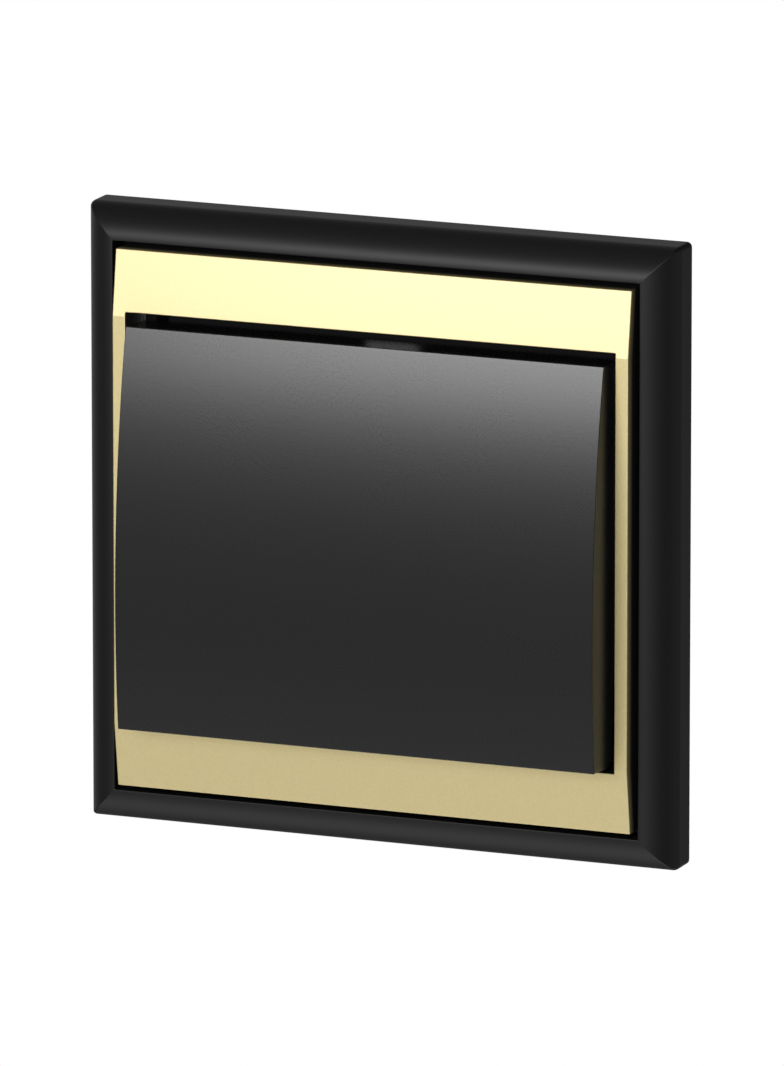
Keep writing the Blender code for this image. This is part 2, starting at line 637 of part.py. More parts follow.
def make_clamp_spring(name, side, middle, material):
    """A bent strip: a leg on the chamber's outer wall, a round bend and the free clamping leg."""
    outer_x, bend_radius, bend_y, half_width = 14.0 * MM, 1.9 * MM, 17 * MM, 4 * MM
    path = [(outer_x, 10 * MM)]
    for i in range(9):
        angle = math.pi * i / 8
        x = outer_x - bend_radius * (1 - math.cos(angle))
        path.append((x, bend_y + bend_radius * math.sin(angle)))
    path.append((BAR_X[1] + 0.7 * MM, 11 * MM))
    outline = [(side * x, y) for x, y in ribbon(path, 0.4 * MM)]
    bm = bmesh.new()
    add_prism(bm, outline, "Z", middle - half_width, middle + half_width)
    make_object(f"clamp_spring_{name}", bm, material)


def make_release_lever(name, side, middle, material):
    half_z = 1.05 * MM
    bm = bmesh.new()
    outline = [(8.0, 17.0), (9.4, 17.0), (9.4, 23.4), (12.0, 23.4)]
    outline += [(12.0, 25.5), (11.7, 25.8), (8.3, 25.8), (8.0, 25.5)]
    outline = [(side * x * MM, y * MM) for x, y in outline]
    add_prism(bm, outline, "Z", middle - half_z, middle + half_z)
    make_object(f"release_lever_{name}", bm, material, origin=(side * 10 * MM, HOUSING_BACK_Y, middle))


# ---- spreading claws ---------------------------------------------------------------------------
def make_claw(name, side, material):
    axis_x, axis_y = CLAW_AXIS
    half_z = 5.6 * MM
    leg_x = (axis_x - 0.5 * MM, axis_x + 0.5 * MM)
    bm = bmesh.new()
    outline = [(axis_y - 0.5 * MM, -half_z), (axis_y - 0.5 * MM, half_z), (23 * MM, half_z)]
    for i in range(4):  # three teeth along the foot's edge
        outline.append((21.6 * MM, half_z * (1 - (2 * i + 0.5) / 4)))
        if i < 3:
            outline.append((23 * MM, half_z * (1 - (2 * i + 1.6) / 4)))
    outline.append((23 * MM, -half_z))
    add_prism(bm, outline, "X", *mirrored(leg_x, side))
    claw = make_object(name, bm, material, origin=(side * axis_x, axis_y, 0.0))

    bm = bmesh.new()
    fork = mirrored((axis_x - 0.4 * MM, 27.2 * MM), side)
    add_box(bm, fork, (axis_y - 0.5 * MM, axis_y + 0.5 * MM), (-half_z + 0.1 * MM, half_z - 0.1 * MM))
    combine(claw, bm, "UNION")
    bm = bmesh.new()
    add_prism(bm, circle((side * axis_x, axis_y), 0.9 * MM, 12), "Z", -7.8 * MM, 7.8 * MM)
    combine(claw, bm, "UNION").name = f"{name}_pins"
    bm = bmesh.new()
    window_x = mirrored((axis_x - 2 * MM, axis_x + 2 * MM), side)
    add_box(bm, window_x, (15 * MM, 18.6 * MM), (-3.7 * MM, 3.7 * MM))
    add_box(bm, mirrored((23.2 * MM, 29 * MM), side), (12 * MM, 14.95 * MM), (-1.75 * MM, 1.75 * MM))
    combine(claw, bm, "DIFFERENCE")


def make_claw_nut(name, side, material):
    x = mirrored((23.2 * MM, 26.8 * MM), side)
    bm = bmesh.new()
    add_box(bm, x, (14.9 * MM, 17.2 * MM), (-3.2 * MM, 3.2 * MM))
    nut = make_object(name, bm, material, origin=(side * CLAW_SCREW_X, 16 * MM, 0.0))
    bm = bmesh.new()
    add_prism(bm, circle((side * CLAW_SCREW_X, 0.0), CLAW_SCREW_RADIUS + GAP, 14), "Y", 14 * MM, 18 * MM)
    combine(nut, bm, "DIFFERENCE")


def make_claw_screw(name, side, material):
    front = -PLATE_THICKNESS - GAP
    radius, head = CLAW_SCREW_RADIUS, 2.6 * MM
    profile = [(0.0, front - 1.9 * MM), (1.9 * MM, front - 1.9 * MM), (head, front - 1.2 * MM), (head, front)]
    profile += [(radius, front), (radius, 17.6 * MM), (0.8 * MM, 18 * MM), (0.0, 18 * MM)]
    bm = bmesh.new()
    add_turned(bm, profile, 18)
    bmesh.ops.translate(bm, verts=bm.verts, vec=(side * CLAW_SCREW_X, 0.0, 0.0))
    screw = make_object(name, bm, material, origin=(side * CLAW_SCREW_X, 0.0, 0.0))
    cut_screw_slot(screw, side * CLAW_SCREW_X, 0.0, front - 1.9 * MM, 0.7 * MM, 1.1 * MM)


def main():
    clear_scene()
    finish = {name: make_material(name) for name in COLOURS}
    make_outer_frame(finish["black_plastic"])
    make_trim_insert(finish["gold_lacquer"])
    make_support_plate(finish["black_coated_steel"])

    pivot = bpy.data.objects.new("rocker_pivot", None)
    pivot.location = (0.0, PIVOT_Y, 0.0)
    pivot.rotation_euler = (-ROCKER_TILT, 0.0, 0.0)
    bpy.context.collection.objects.link(pivot)
    make_rocker(finish["rocker_plastic"], pivot)
    make_rocker_cradle(finish["white_plastic"], pivot)
    make_plunger(finish["white_plastic"], pivot)
    make_plunger_spring(finish["spring_steel"], pivot)

    make_housing_cover(finish["grey_plastic"])
    make_base_housing(finish["grey_plastic"])
    make_seesaw(finish["brass"], finish["silver_contact"])
    make_common_contact(finish["brass"])
    for name, side in (("upper", 1), ("lower", -1)):
        make_cover_screw(f"cover_screw_{name}", side, finish["zinc_steel"])
        make_fixed_contact(name, side, finish["brass"], finish["silver_contact"])
    for name, side, middle in TERMINALS:
        make_clamp_spring(name, side, middle, finish["spring_steel"])
        make_release_lever(name, side, middle, finish["orange_plastic"])
    for name, side in (("right", 1), ("left", -1)):
        make_claw(f"claw_{name}", side, finish["zinc_steel"])
        make_claw_nut(f"claw_nut_{name}", side, finish["zinc_steel"])
        make_claw_screw(f"claw_screw_{name}", side, finish["zinc_steel"])


main()
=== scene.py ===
"""Finished model of a flush rocker wall switch: black frame, pale gold trim and one wide black key.

Metres, as in the frame: X is right, Z is up, the front faces -Y and the wall plane is Y = 0.
"""

import math

import bmesh
import bpy
from mathutils import Matrix, Vector


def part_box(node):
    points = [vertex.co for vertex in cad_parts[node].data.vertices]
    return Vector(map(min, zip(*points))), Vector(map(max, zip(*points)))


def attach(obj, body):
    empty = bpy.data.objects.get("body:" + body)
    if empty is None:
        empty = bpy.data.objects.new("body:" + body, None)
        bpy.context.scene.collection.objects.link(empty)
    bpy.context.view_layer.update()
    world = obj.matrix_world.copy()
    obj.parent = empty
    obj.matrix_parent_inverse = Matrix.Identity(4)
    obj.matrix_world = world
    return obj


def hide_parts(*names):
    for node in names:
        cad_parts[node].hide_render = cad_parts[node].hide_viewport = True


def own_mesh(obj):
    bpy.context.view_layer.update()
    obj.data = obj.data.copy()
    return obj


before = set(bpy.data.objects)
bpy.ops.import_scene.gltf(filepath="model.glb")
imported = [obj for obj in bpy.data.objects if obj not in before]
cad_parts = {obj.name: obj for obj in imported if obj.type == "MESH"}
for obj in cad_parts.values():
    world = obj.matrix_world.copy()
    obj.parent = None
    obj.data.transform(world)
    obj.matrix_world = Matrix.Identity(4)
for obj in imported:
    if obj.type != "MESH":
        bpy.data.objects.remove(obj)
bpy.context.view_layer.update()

MM = 0.001

# ---- outer frame -------------------------------------------------------------------------------
FRAME_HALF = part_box("outer_frame")[1].x
FRAME_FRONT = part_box("outer_frame")[0].y
FRAME_OPENING = 37.89 * MM
FRAME_LAND = 0.2 * MM            # narrow flat beside the opening
FRAME_SIDE = -3.6 * MM           # the straight side ends here and the curve starts
FRAME_CURVE = 1.8                # superellipse power of the border
FRAME_CURVE_STEPS = 40
FRAME_EDGE = 0.12 * MM           # small rounds and chamfers of the section
FRAME_LEDGE = (36.6 * MM, -3.2 * MM, -2.0 * MM)   # half opening, front, back
FRAME_SHELF = (35.3 * MM, 36.8 * MM)
FRAME_SHELF_HALF = 33 * MM
FRAME_SHELF_INSET = 0.1 * MM     # the shelves are this much thinner than the ledge, front and back
FRAME_CHANNEL = ((39.1 * MM, -5.8 * MM), (40.8 * MM, -4.6 * MM))
FRAME_RIBS = (-30 * MM, -15 * MM, 0.0, 15 * MM, 30 * MM)
FRAME_RIB_SIZE = (0.9 * MM, 4.2 * MM, 2.2 * MM)
FRAME_RIB_CENTRE = (-3.1 * MM, 39.95 * MM)        # depth, distance from the middle
FRAME_CORNER = 0.7 * MM          # round on the four outer corners
MITRE_ROUND = 0.12 * MM

# ---- trim insert -------------------------------------------------------------------------------
TRIM_HALF_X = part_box("trim_insert")[1].x
TRIM_HALF_Z = 37.02 * MM
TRIM_EDGE = -8.22 * MM
TRIM_RIDGE = (28.04 * MM, -9.48 * MM)
TRIM_BACK = -3.5 * MM
TRIM_OPENING = (35.25 * MM, 28.63 * MM)
TRIM_HOLLOW = ((-6.9 * MM, 0.0), (30.0 * MM, 35.7 * MM))      # depth, distance from the middle
TRIM_HOLLOW_HALF = 17 * MM
TRIM_CLIP_X = 18 * MM
TRIM_CLIP_HALF = 4 * MM
TRIM_LEG = ((-6.0 * MM, -0.5 * MM), (35.3 * MM, 36.3 * MM))
TRIM_HOOK = ((-1.5 * MM, -0.5 * MM), (34.3 * MM, 35.7 * MM))

# ---- rocker key, level, from its pivot ---------------------------------------------------------
PIVOT = Vector((0.0, -5.0 * MM, 0.0))
TILT = math.radians(3.3)
KEY_HALF_X = 34.39 * MM
KEY_HALF_Z = 27.42 * MM
KEY_DROP = 0.69 * MM
KEY_EDGE = -7.94 * MM
KEY_CROWN = 2.12 * MM
KEY_SKIRT = -1.5 * MM
KEY_WALL = 1.6 * MM
KEY_SHELL = 2.0 * MM
KEY_ARC_STEPS = 96
KEY_ROUND = 0.42 * MM
KEY_CLIP_X = 8 * MM
KEY_CLIP_HALF = 3 * MM
KEY_LEG = ((-8.4 * MM, -1.2 * MM), (14.3 * MM, 15.7 * MM))    # depth, distance from the middle
KEY_HOOK = ((-2.2 * MM, -1.2 * MM), (13.5 * MM, 14.6 * MM))

# ---- plate, housing and claws behind the front -------------------------------------------------
PLATE_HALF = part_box("support_plate")[1].x
PLATE_CORNER = 5.2 * MM
PLATE_SHARPEST = 0.6 * MM        # the plate's inner corners are no sharper than this
PLATE_PROFILE = (                # half width and depth of the plate's section, in millimetres
    (12.0, -1.8), (21.6, -1.8), (22.1, -1.2), (32.4, -1.2), (33.4, -3.0), (PLATE_HALF / MM, -3.0),
    (PLATE_HALF / MM, -1.8), (33.9, -1.8), (32.9, 0.0), (22.1, 0.0), (21.6, -0.6), (12.0, -0.6),
)
FIXING_CENTRE = 30.0 * MM
FIXING_SLOT = (9.0 * MM, 3.8 * MM)
CAVITY = (18.0 * MM, 7.5 * MM)   # half width and corner cut of the round-cornered chamber
HOUSING_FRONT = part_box("base_housing")[0].y
HOUSING_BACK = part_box("base_housing")[1].y
HOUSING_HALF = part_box("base_housing")[1].z
HOUSING_CORNER = 4.5 * MM
HOUSING_FLOOR = 22.4 * MM
HOUSING_GROOVES = (-9 * MM, -3 * MM, 3 * MM, 9 * MM)
HOUSING_GROOVE = 0.7 * MM        # half width, and depth
HOUSING_GROOVE_RUN = (5 * MM, 20 * MM)
CHAMBER_RIB = (4.5 * MM, 5.6 * MM)
CHAMBER_RIB_FRONT = 7 * MM
CHAMBER_RIB_HALF = 18.5 * MM
CLAW_LUG_REACH = 23.8 * MM
CLAW_LUG_RUN = (12 * MM, 16 * MM)
CLAW_LUG_SPAN = (6.4 * MM, 8 * MM)
COVER_SCREW = 16.25 * MM
# name, side along X, centre along Z of each terminal
TERMINALS = (("common", -1, 0.0), ("upper", 1, 8.6 * MM), ("lower", 1, -8.6 * MM))
WIRE_HOLE_X = 9.0 * MM
WIRE_HOLE_STEP = 3.0 * MM
WIRE_HOLE_RADIUS = 1.4 * MM
TERMINAL_FIELD = (10.4 * MM, 4.6 * MM, 0.3 * MM)   # length, width, depth
TERMINAL_FIELD_X = 9.6 * MM
LEVER_WINDOW = ((7.7 * MM, 12.3 * MM), 1.35 * MM)  # reach, half height
CLAW_AXIS = (22.0 * MM, 14.0 * MM)
CLAW_SCREW_X = 25.0 * MM
SCREW_PITCH = 0.7 * MM
THREAD_DEPTH = 0.2 * MM

# ---- plunger, springs and levers, the plunger's along its own axis from the pivot ---------------
PLUNGER_SHANK = 2.2 * MM
PLUNGER_NOSE = 1.5 * MM
PLUNGER_NOSE_CENTRE = 19.7 * MM
COIL_TURNS = 7
COIL_RADIUS = 1.75 * MM
COIL_WIRE = 0.24 * MM            # radius of the wire
COIL_SPAN = (-0.88 * MM, 7.38 * MM)
CLAMP_LEG = (14.0 * MM, 10 * MM)          # the end of the leg on the chamber's outer wall
CLAMP_FREE_END = (7.7 * MM, 11 * MM)
CLAMP_BEND = (1.9 * MM, 17 * MM)          # radius, and where it starts
CLAMP_HALF_WIDTH = 4 * MM
CLAMP_THICKNESS = 0.4 * MM
LEVER_HALF_WIDTH = 1.05 * MM

# ---- finishes ----------------------------------------------------------------------------------
GOLD_COLOUR = (0.75, 0.63, 0.295)
GOLD_ROUGHNESS = 0.53
GOLD_COAT = (0.9, 0.38, 2.0)     # weight, roughness, index
# black that stands in for shade: painted shade down the trim's walls in the gaps
GAP_SHADE_BLACK = (0.008, 0.008, 0.008)
DUST_GREY = (0.35, 0.34, 0.32)
GAP_SHADE_OUTER_EDGE = 36.2 * MM         # walls further out than this keep more gold before the painted shade takes over

# ---- camera, lamps and floor -------------------------------------------------------------------
CAMERA_AIM = (-0.47 * MM, 0.0, -0.72 * MM)
CAMERA_ANGLES = (22.10, 12.78)   # azimuth, elevation
CAMERA_DISTANCE = 1.9817
CAMERA_LENS = 498.6
# azimuth, elevation, distance, width, height and watts
FRONT_LAMP = (-15.7, 16.8, 0.40, 0.16, 0.09, 0.488)
BACK_LAMP = (180, 0, 0.45, 0.07, 0.07, 0.35)
# azimuth, elevation, strength and focus of the studio's soft glows
GLOWS = (
    (0, -60, 2.22, 8),
    (-130, 10, 0.82, 8),
    (90, -60, 0.45, 8),
    (110, 5, 0.42, 8),
    (0, 40, 0.26, 8),
    (0, 80, 0.26, 8),
    (180, -30, 0.29, 8),
    (-30, 5, 0.19, 8),
    (-80, 5, 0.16, 8),
    (15, 5, 0.10, 8),
    (16, 22, 6.5, 80),
    (-1, 8, 4.0, 80),
)
FLOOR_LEVEL = -1.2
FLOOR_HALF = 12.0


# ---- mesh tools --------------------------------------------------------------------------------
def box(bm, x, y, z):
    size = [pair[1] - pair[0] for pair in (x, y, z)]
    middle = [(pair[1] + pair[0]) / 2 for pair in (x, y, z)]
    bmesh.ops.create_cube(bm, size=1.0, matrix=Matrix.Translation(middle) @ Matrix.Diagonal((*size, 1.0)))


def prism(bm, outline, axis, start, end):
    """An outline swept along X, Y or Z. It lists the other two coordinates, in X, Y, Z order."""

    def place(point, along):
        first, second = point
        return {"X": (along, first, second), "Y": (first, along, second), "Z": (first, second, along)}[axis]

    near = [bm.verts.new(place(point, start)) for point in outline]
    far = [bm.verts.new(place(point, end)) for point in outline]
    faces = [bm.faces.new(near), bm.faces.new(far[::-1])]
    count = len(outline)
    for i in range(count):
        j = (i + 1) % count
        faces.append(bm.faces.new((near[i], far[i], far[j], near[j])))
    bmesh.ops.recalc_face_normals(bm, faces=faces)


def sides(pair):
    """A (low, high) pair and its mirror image."""
    return pair, (-pair[1], -pair[0])


def mirrored(pair, side):
    """A (low, high) pair, or its mirror image for side -1."""
    return tuple(sorted(side * value for value in pair))


def circle(centre, radius, steps=48):
    turns = [2 * math.pi * (i + 0.5) / steps for i in range(steps)]
    return [(centre[0] + radius * math.cos(t), centre[1] + radius * math.sin(t)) for t in turns]


def octagon(half, corner):
    edge, points = half - corner, []
    for cos, sin in ((1, 0), (0, 1), (-1, 0), (0, -1)):
        points += [(x * cos - z * sin, x * sin + z * cos) for x, z in ((half, edge), (edge, half))]
    return points


def slot_outline(centre, length, width, along_first, steps=16):
    """A slot with round ends, its length along the first or the second coordinate."""
    radius, reach, points = width / 2, (length - width) / 2, []
    for end in (1, -1):
        for i in range(steps + 1):
            angle = math.pi * i / steps
            along = end * (reach + radius * math.sin(angle))
            across = end * radius * math.cos(angle)
            first, second = (along, across) if along_first else (across, along)
            points.append((centre[0] + first, centre[1] + second))
    return points


def skin(bm, loops, closed=False):
    """Faces between rings of the same length. An open stack gets a flat cap at each end."""
    pairs = list(zip(loops, loops[1:] + loops[:1])) if closed else list(zip(loops, loops[1:]))
    for near, far in pairs:
        for k in range(len(near)):
            n = (k + 1) % len(near)
            bm.faces.new((near[k], near[n], far[n], far[k]))
    if not closed:
        bm.faces.new(loops[0])
        bm.faces.new(loops[-1])
    bmesh.ops.recalc_face_normals(bm, faces=bm.faces)


def stack(bm, outlines):
    """(outline, y) pairs skinned from front to back."""
    skin(bm, [[bm.verts.new((x, y, z)) for x, z in outline] for outline, y in outlines])


def border(bm, profile, steps=6):
    """A closed (half width, y, corner radius) profile run round a square."""
    loops = []
    for half, y, radius in profile:
        loop = []
        for quarter in range(4):
            turn = Matrix.Rotation(quarter * math.pi / 2, 2)
            for i in range(steps + 1):
                angle = math.pi / 2 * i / steps
                reach = half - radius
                x, z = turn @ Vector((reach + radius * math.cos(angle), reach + radius * math.sin(angle)))
                loop.append(bm.verts.new((x, y, z)))
        loops.append(loop)
    skin(bm, loops, closed=True)


def turned(bm, profile, centre=(0.0, 0.0), steps=48):
    """A (radius, y) profile turned about an axis along Y."""
    loops = []
    for radius, y in profile:
        loops.append([bm.verts.new((x, y, z)) for x, z in circle(centre, radius, steps)])
    skin(bm, loops)


def ribbon(path, thickness):
    """Closed outline of a strip that follows a path of points."""
    left, right = [], []
    for i, point in enumerate(path):
        before, after = Vector(path[max(i - 1, 0)]), Vector(path[min(i + 1, len(path) - 1)])
        along = (after - before).normalized()
        normal = Vector((-along.y, along.x)) * thickness / 2
        left.append(tuple(Vector(point) + normal))
        right.append(tuple(Vector(point) - normal))
    return left + right[::-1]


def piece(name, bm, body, node):
    mesh = bpy.data.meshes.new(name)
    bm.to_mesh(mesh)
    bm.free()
    mesh.shade_smooth()
    obj = bpy.data.objects.new(name, mesh)
    bpy.context.scene.collection.objects.link(obj)
    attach(obj, body)
    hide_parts(node)
    return obj


def merge_tool(obj, bm, operation):
    """Cuts or joins a tool shape at once, and leaves no tool behind."""
    mesh = bpy.data.meshes.new("tool")
    bm.to_mesh(mesh)
    bm.free()
    tool = bpy.data.objects.new("tool", mesh)
    bpy.context.scene.collection.objects.link(tool)
    modifier = obj.modifiers.new("Tool", "BOOLEAN")
    modifier.operation = operation
    modifier.object = tool
    evaluated = obj.evaluated_get(bpy.context.evaluated_depsgraph_get())
    made = bpy.data.meshes.new_from_object(evaluated)
    obj.modifiers.clear()
    obj.data = made
    bpy.data.objects.remove(tool)


def tilt_with_key(obj):
    """A piece drawn level about the pivot, turned and moved to where the key rests."""
    obj.data.transform(Matrix.Translation(PIVOT) @ Matrix.Rotation(-TILT, 4, "X"))


def add_clips(obj, clips, middle_x, half):
    """Four clips, two above and two below, in (depth, distance from the middle) parts."""
    for depth, distance in clips:
        bm = bmesh.new()
        for reach in sides(distance):
            for middle in (-middle_x, middle_x):
                box(bm, (middle - half, middle + half), depth, reach)
        merge_tool(obj, bm, "UNION")


def bevel_edges(obj, width, segments, angle):
    bevel = obj.modifiers.new("Round", "BEVEL")
    bevel.width = width
    bevel.segments = segments
    bevel.limit_method = "ANGLE"
    bevel.angle_limit = math.radians(angle)
    return bevel


def even_shading(obj, keep_sharp=True):
    """Normals that follow the large faces, so flats stay flat beside a round."""
    shade = obj.modifiers.new("Shade", "WEIGHTED_NORMAL")
    shade.weight = 90
    shade.keep_sharp = keep_sharp


def round_edges(obj, width, segments=3, angle=35, weld=False):
    """Clean flat faces, rounded edges and normals that stay flat between them."""
    if weld:
        obj.modifiers.new("Weld", "WELD").merge_threshold = 0.001 * MM
    flat = obj.modifiers.new("Flat", "DECIMATE")
    flat.decimate_type = "DISSOLVE"
    flat.angle_limit = math.radians(0.5)
    bevel_edges(obj, width, segments, angle).miter_outer = "MITER_ARC"
    even_shading(obj)


# ---- outer frame -------------------------------------------------------------------------------
def frame_profile():
    """(half width, y, corner radius) round the border's section, from the wall forward and back."""
    width = FRAME_HALF - FRAME_OPENING - FRAME_LAND
    height = FRAME_SIDE - FRAME_FRONT
    edge = FRAME_EDGE
    ledge_half, ledge_front, ledge_back = FRAME_LEDGE
    points = [(FRAME_HALF - edge, 0.0), (FRAME_HALF, -edge)]
    for i in range(FRAME_CURVE_STEPS + 1):
        angle = math.pi / 2 * i / FRAME_CURVE_STEPS
        across = max(math.cos(angle), 0.0) ** (2 / FRAME_CURVE)
        rise = math.sin(angle) ** (2 / FRAME_CURVE)
        points.append((FRAME_HALF - width * (1 - across), FRAME_SIDE - height * rise))
    for i in range(5):
        angle = math.pi / 2 * i / 4
        half = FRAME_OPENING + edge * (1 - math.sin(angle))
        points.append((half, FRAME_FRONT + edge * (1 - math.cos(angle))))
    points += [
        (FRAME_OPENING, ledge_front),
        (ledge_half, ledge_front),
        (ledge_half, ledge_back),
        (FRAME_CHANNEL[0][0], ledge_back),
        FRAME_CHANNEL[0],
        FRAME_CHANNEL[1],
        (FRAME_CHANNEL[1][0], -edge),
        (FRAME_CHANNEL[1][0] + edge, 0.0),
    ]
    return [(half, y, max(MITRE_ROUND, FRAME_CORNER - (FRAME_HALF - half))) for half, y in points]


def make_outer_frame():
    bm = bmesh.new()
    border(bm, frame_profile())
    # stiffening ribs across the open channel behind the border
    for turn in range(4):
        matrix = Matrix.Rotation(turn * math.pi / 2, 4, "Y")
        for along in FRAME_RIBS:
            place = matrix @ Matrix.Translation((along, *FRAME_RIB_CENTRE))
            size = Matrix.Diagonal((*FRAME_RIB_SIZE, 1.0))
            bmesh.ops.create_cube(bm, size=1.0, matrix=place @ size)
    # the ledge reaches further in at the left and right
    depth = (FRAME_LEDGE[1] + FRAME_SHELF_INSET, FRAME_LEDGE[2] - FRAME_SHELF_INSET)
    for across in sides(FRAME_SHELF):
        box(bm, across, depth, (-FRAME_SHELF_HALF, FRAME_SHELF_HALF))
    bmesh.ops.recalc_face_normals(bm, faces=bm.faces)
    made = piece("frame_moulding", bm, "base", "outer_frame")
    made.data.set_sharp_from_angle(angle=math.radians(42))
    even_shading(made)
    return made


# ---- trim insert -------------------------------------------------------------------------------
def make_trim():
    ridge_z, ridge_y = TRIM_RIDGE
    outline = [
        (TRIM_BACK, -TRIM_HALF_Z),
        (TRIM_EDGE, -TRIM_HALF_Z),
        (ridge_y, -ridge_z),
        (ridge_y, ridge_z),
        (TRIM_EDGE, TRIM_HALF_Z),
        (TRIM_BACK, TRIM_HALF_Z),
    ]
    bm = bmesh.new()
    prism(bm, outline, "X", -TRIM_HALF_X, TRIM_HALF_X)
    trim = piece("trim_moulding", bm, "base", "trim_insert")
    bm = bmesh.new()
    box(bm, (-TRIM_OPENING[0], TRIM_OPENING[0]), (-15 * MM, 0.0), (-TRIM_OPENING[1], TRIM_OPENING[1]))
    depth, distance = TRIM_HOLLOW
    for reach in sides(distance):
        for middle in (-TRIM_CLIP_X, TRIM_CLIP_X):
            box(bm, (middle - TRIM_HOLLOW_HALF, middle + TRIM_HOLLOW_HALF), depth, reach)
    merge_tool(trim, bm, "DIFFERENCE")
    add_clips(trim, (TRIM_LEG, TRIM_HOOK), TRIM_CLIP_X, TRIM_CLIP_HALF)

    def on_fold(vertex):
        close = 0.001 * MM
        return abs(abs(vertex.z) - ridge_z) < close and vertex.y < ridge_y + close

    for edge in trim.data.edges:     # the bands meet the flat sides at a crisp fold
        edge.use_edge_sharp = all(on_fold(trim.data.vertices[i].co) for i in edge.vertices)
    round_edges(trim, 0.14 * MM)
    return trim


# ---- rocker key --------------------------------------------------------------------------------
def key_arc(half_z, edge_y, crown, steps):
    """(y, z) points of the key's arched front, from the bottom up."""
    radius = (half_z ** 2 + crown ** 2) / (2 * crown)
    reach = math.asin(half_z / radius)
    points = []
    for i in range(steps + 1):
        angle = reach * (2 * i / steps - 1)
        sag = radius * math.cos(angle) - radius * math.cos(reach)
        points.append((edge_y - sag, radius * math.sin(angle) - KEY_DROP))
    return points


def make_key():
    low, high = -KEY_HALF_Z - KEY_DROP, KEY_HALF_Z - KEY_DROP
    outline = key_arc(KEY_HALF_Z, KEY_EDGE, KEY_CROWN, KEY_ARC_STEPS)
    outline += [(KEY_SKIRT, high), (KEY_SKIRT, low)]
    bm = bmesh.new()
    prism(bm, outline, "X", -KEY_HALF_X, KEY_HALF_X)
    key = piece("rocker_key", bm, "rocker", "rocker")
    bm = bmesh.new()
    inside = key_arc(KEY_HALF_Z - KEY_WALL, KEY_EDGE + KEY_SHELL, KEY_CROWN, 24)
    inside += [(1 * MM, high - KEY_WALL), (1 * MM, low + KEY_WALL)]
    prism(bm, inside, "X", KEY_WALL - KEY_HALF_X, KEY_HALF_X - KEY_WALL)
    merge_tool(key, bm, "DIFFERENCE")
    add_clips(key, (KEY_LEG, KEY_HOOK), KEY_CLIP_X, KEY_CLIP_HALF)
    tilt_with_key(key)
    bevel_edges(key, KEY_ROUND, segments=4, angle=35)
    even_shading(key, keep_sharp=False)
    return key


# ---- support plate -----------------------------------------------------------------------------
def make_support_plate():
    section = [(half * MM, y * MM) for half, y in PLATE_PROFILE]
    inset = PLATE_CORNER - PLATE_HALF
    bm = bmesh.new()
    border(bm, [(half, y, max(PLATE_SHARPEST, inset + half)) for half, y in section], steps=10)
    plate = piece("mounting_plate", bm, "base", "support_plate")
    bm, through = bmesh.new(), (-5 * MM, 2 * MM)
    prism(bm, octagon(*CAVITY), "Y", *through)
    for side in (-1, 1):
        at = side * FIXING_CENTRE
        prism(bm, slot_outline((at, 0.0), *FIXING_SLOT, along_first=False), "Y", *through)
        prism(bm, slot_outline((0.0, at), *FIXING_SLOT, along_first=True), "Y", *through)
        prism(bm, circle((side * CLAW_SCREW_X, 0.0), 1.6 * MM), "Y", *through)
        prism(bm, circle((side * COVER_SCREW, side * COVER_SCREW), 1.5 * MM), "Y", *through)
    merge_tool(plate, bm, "DIFFERENCE")
    round_edges(plate, 0.12 * MM)
    return plate


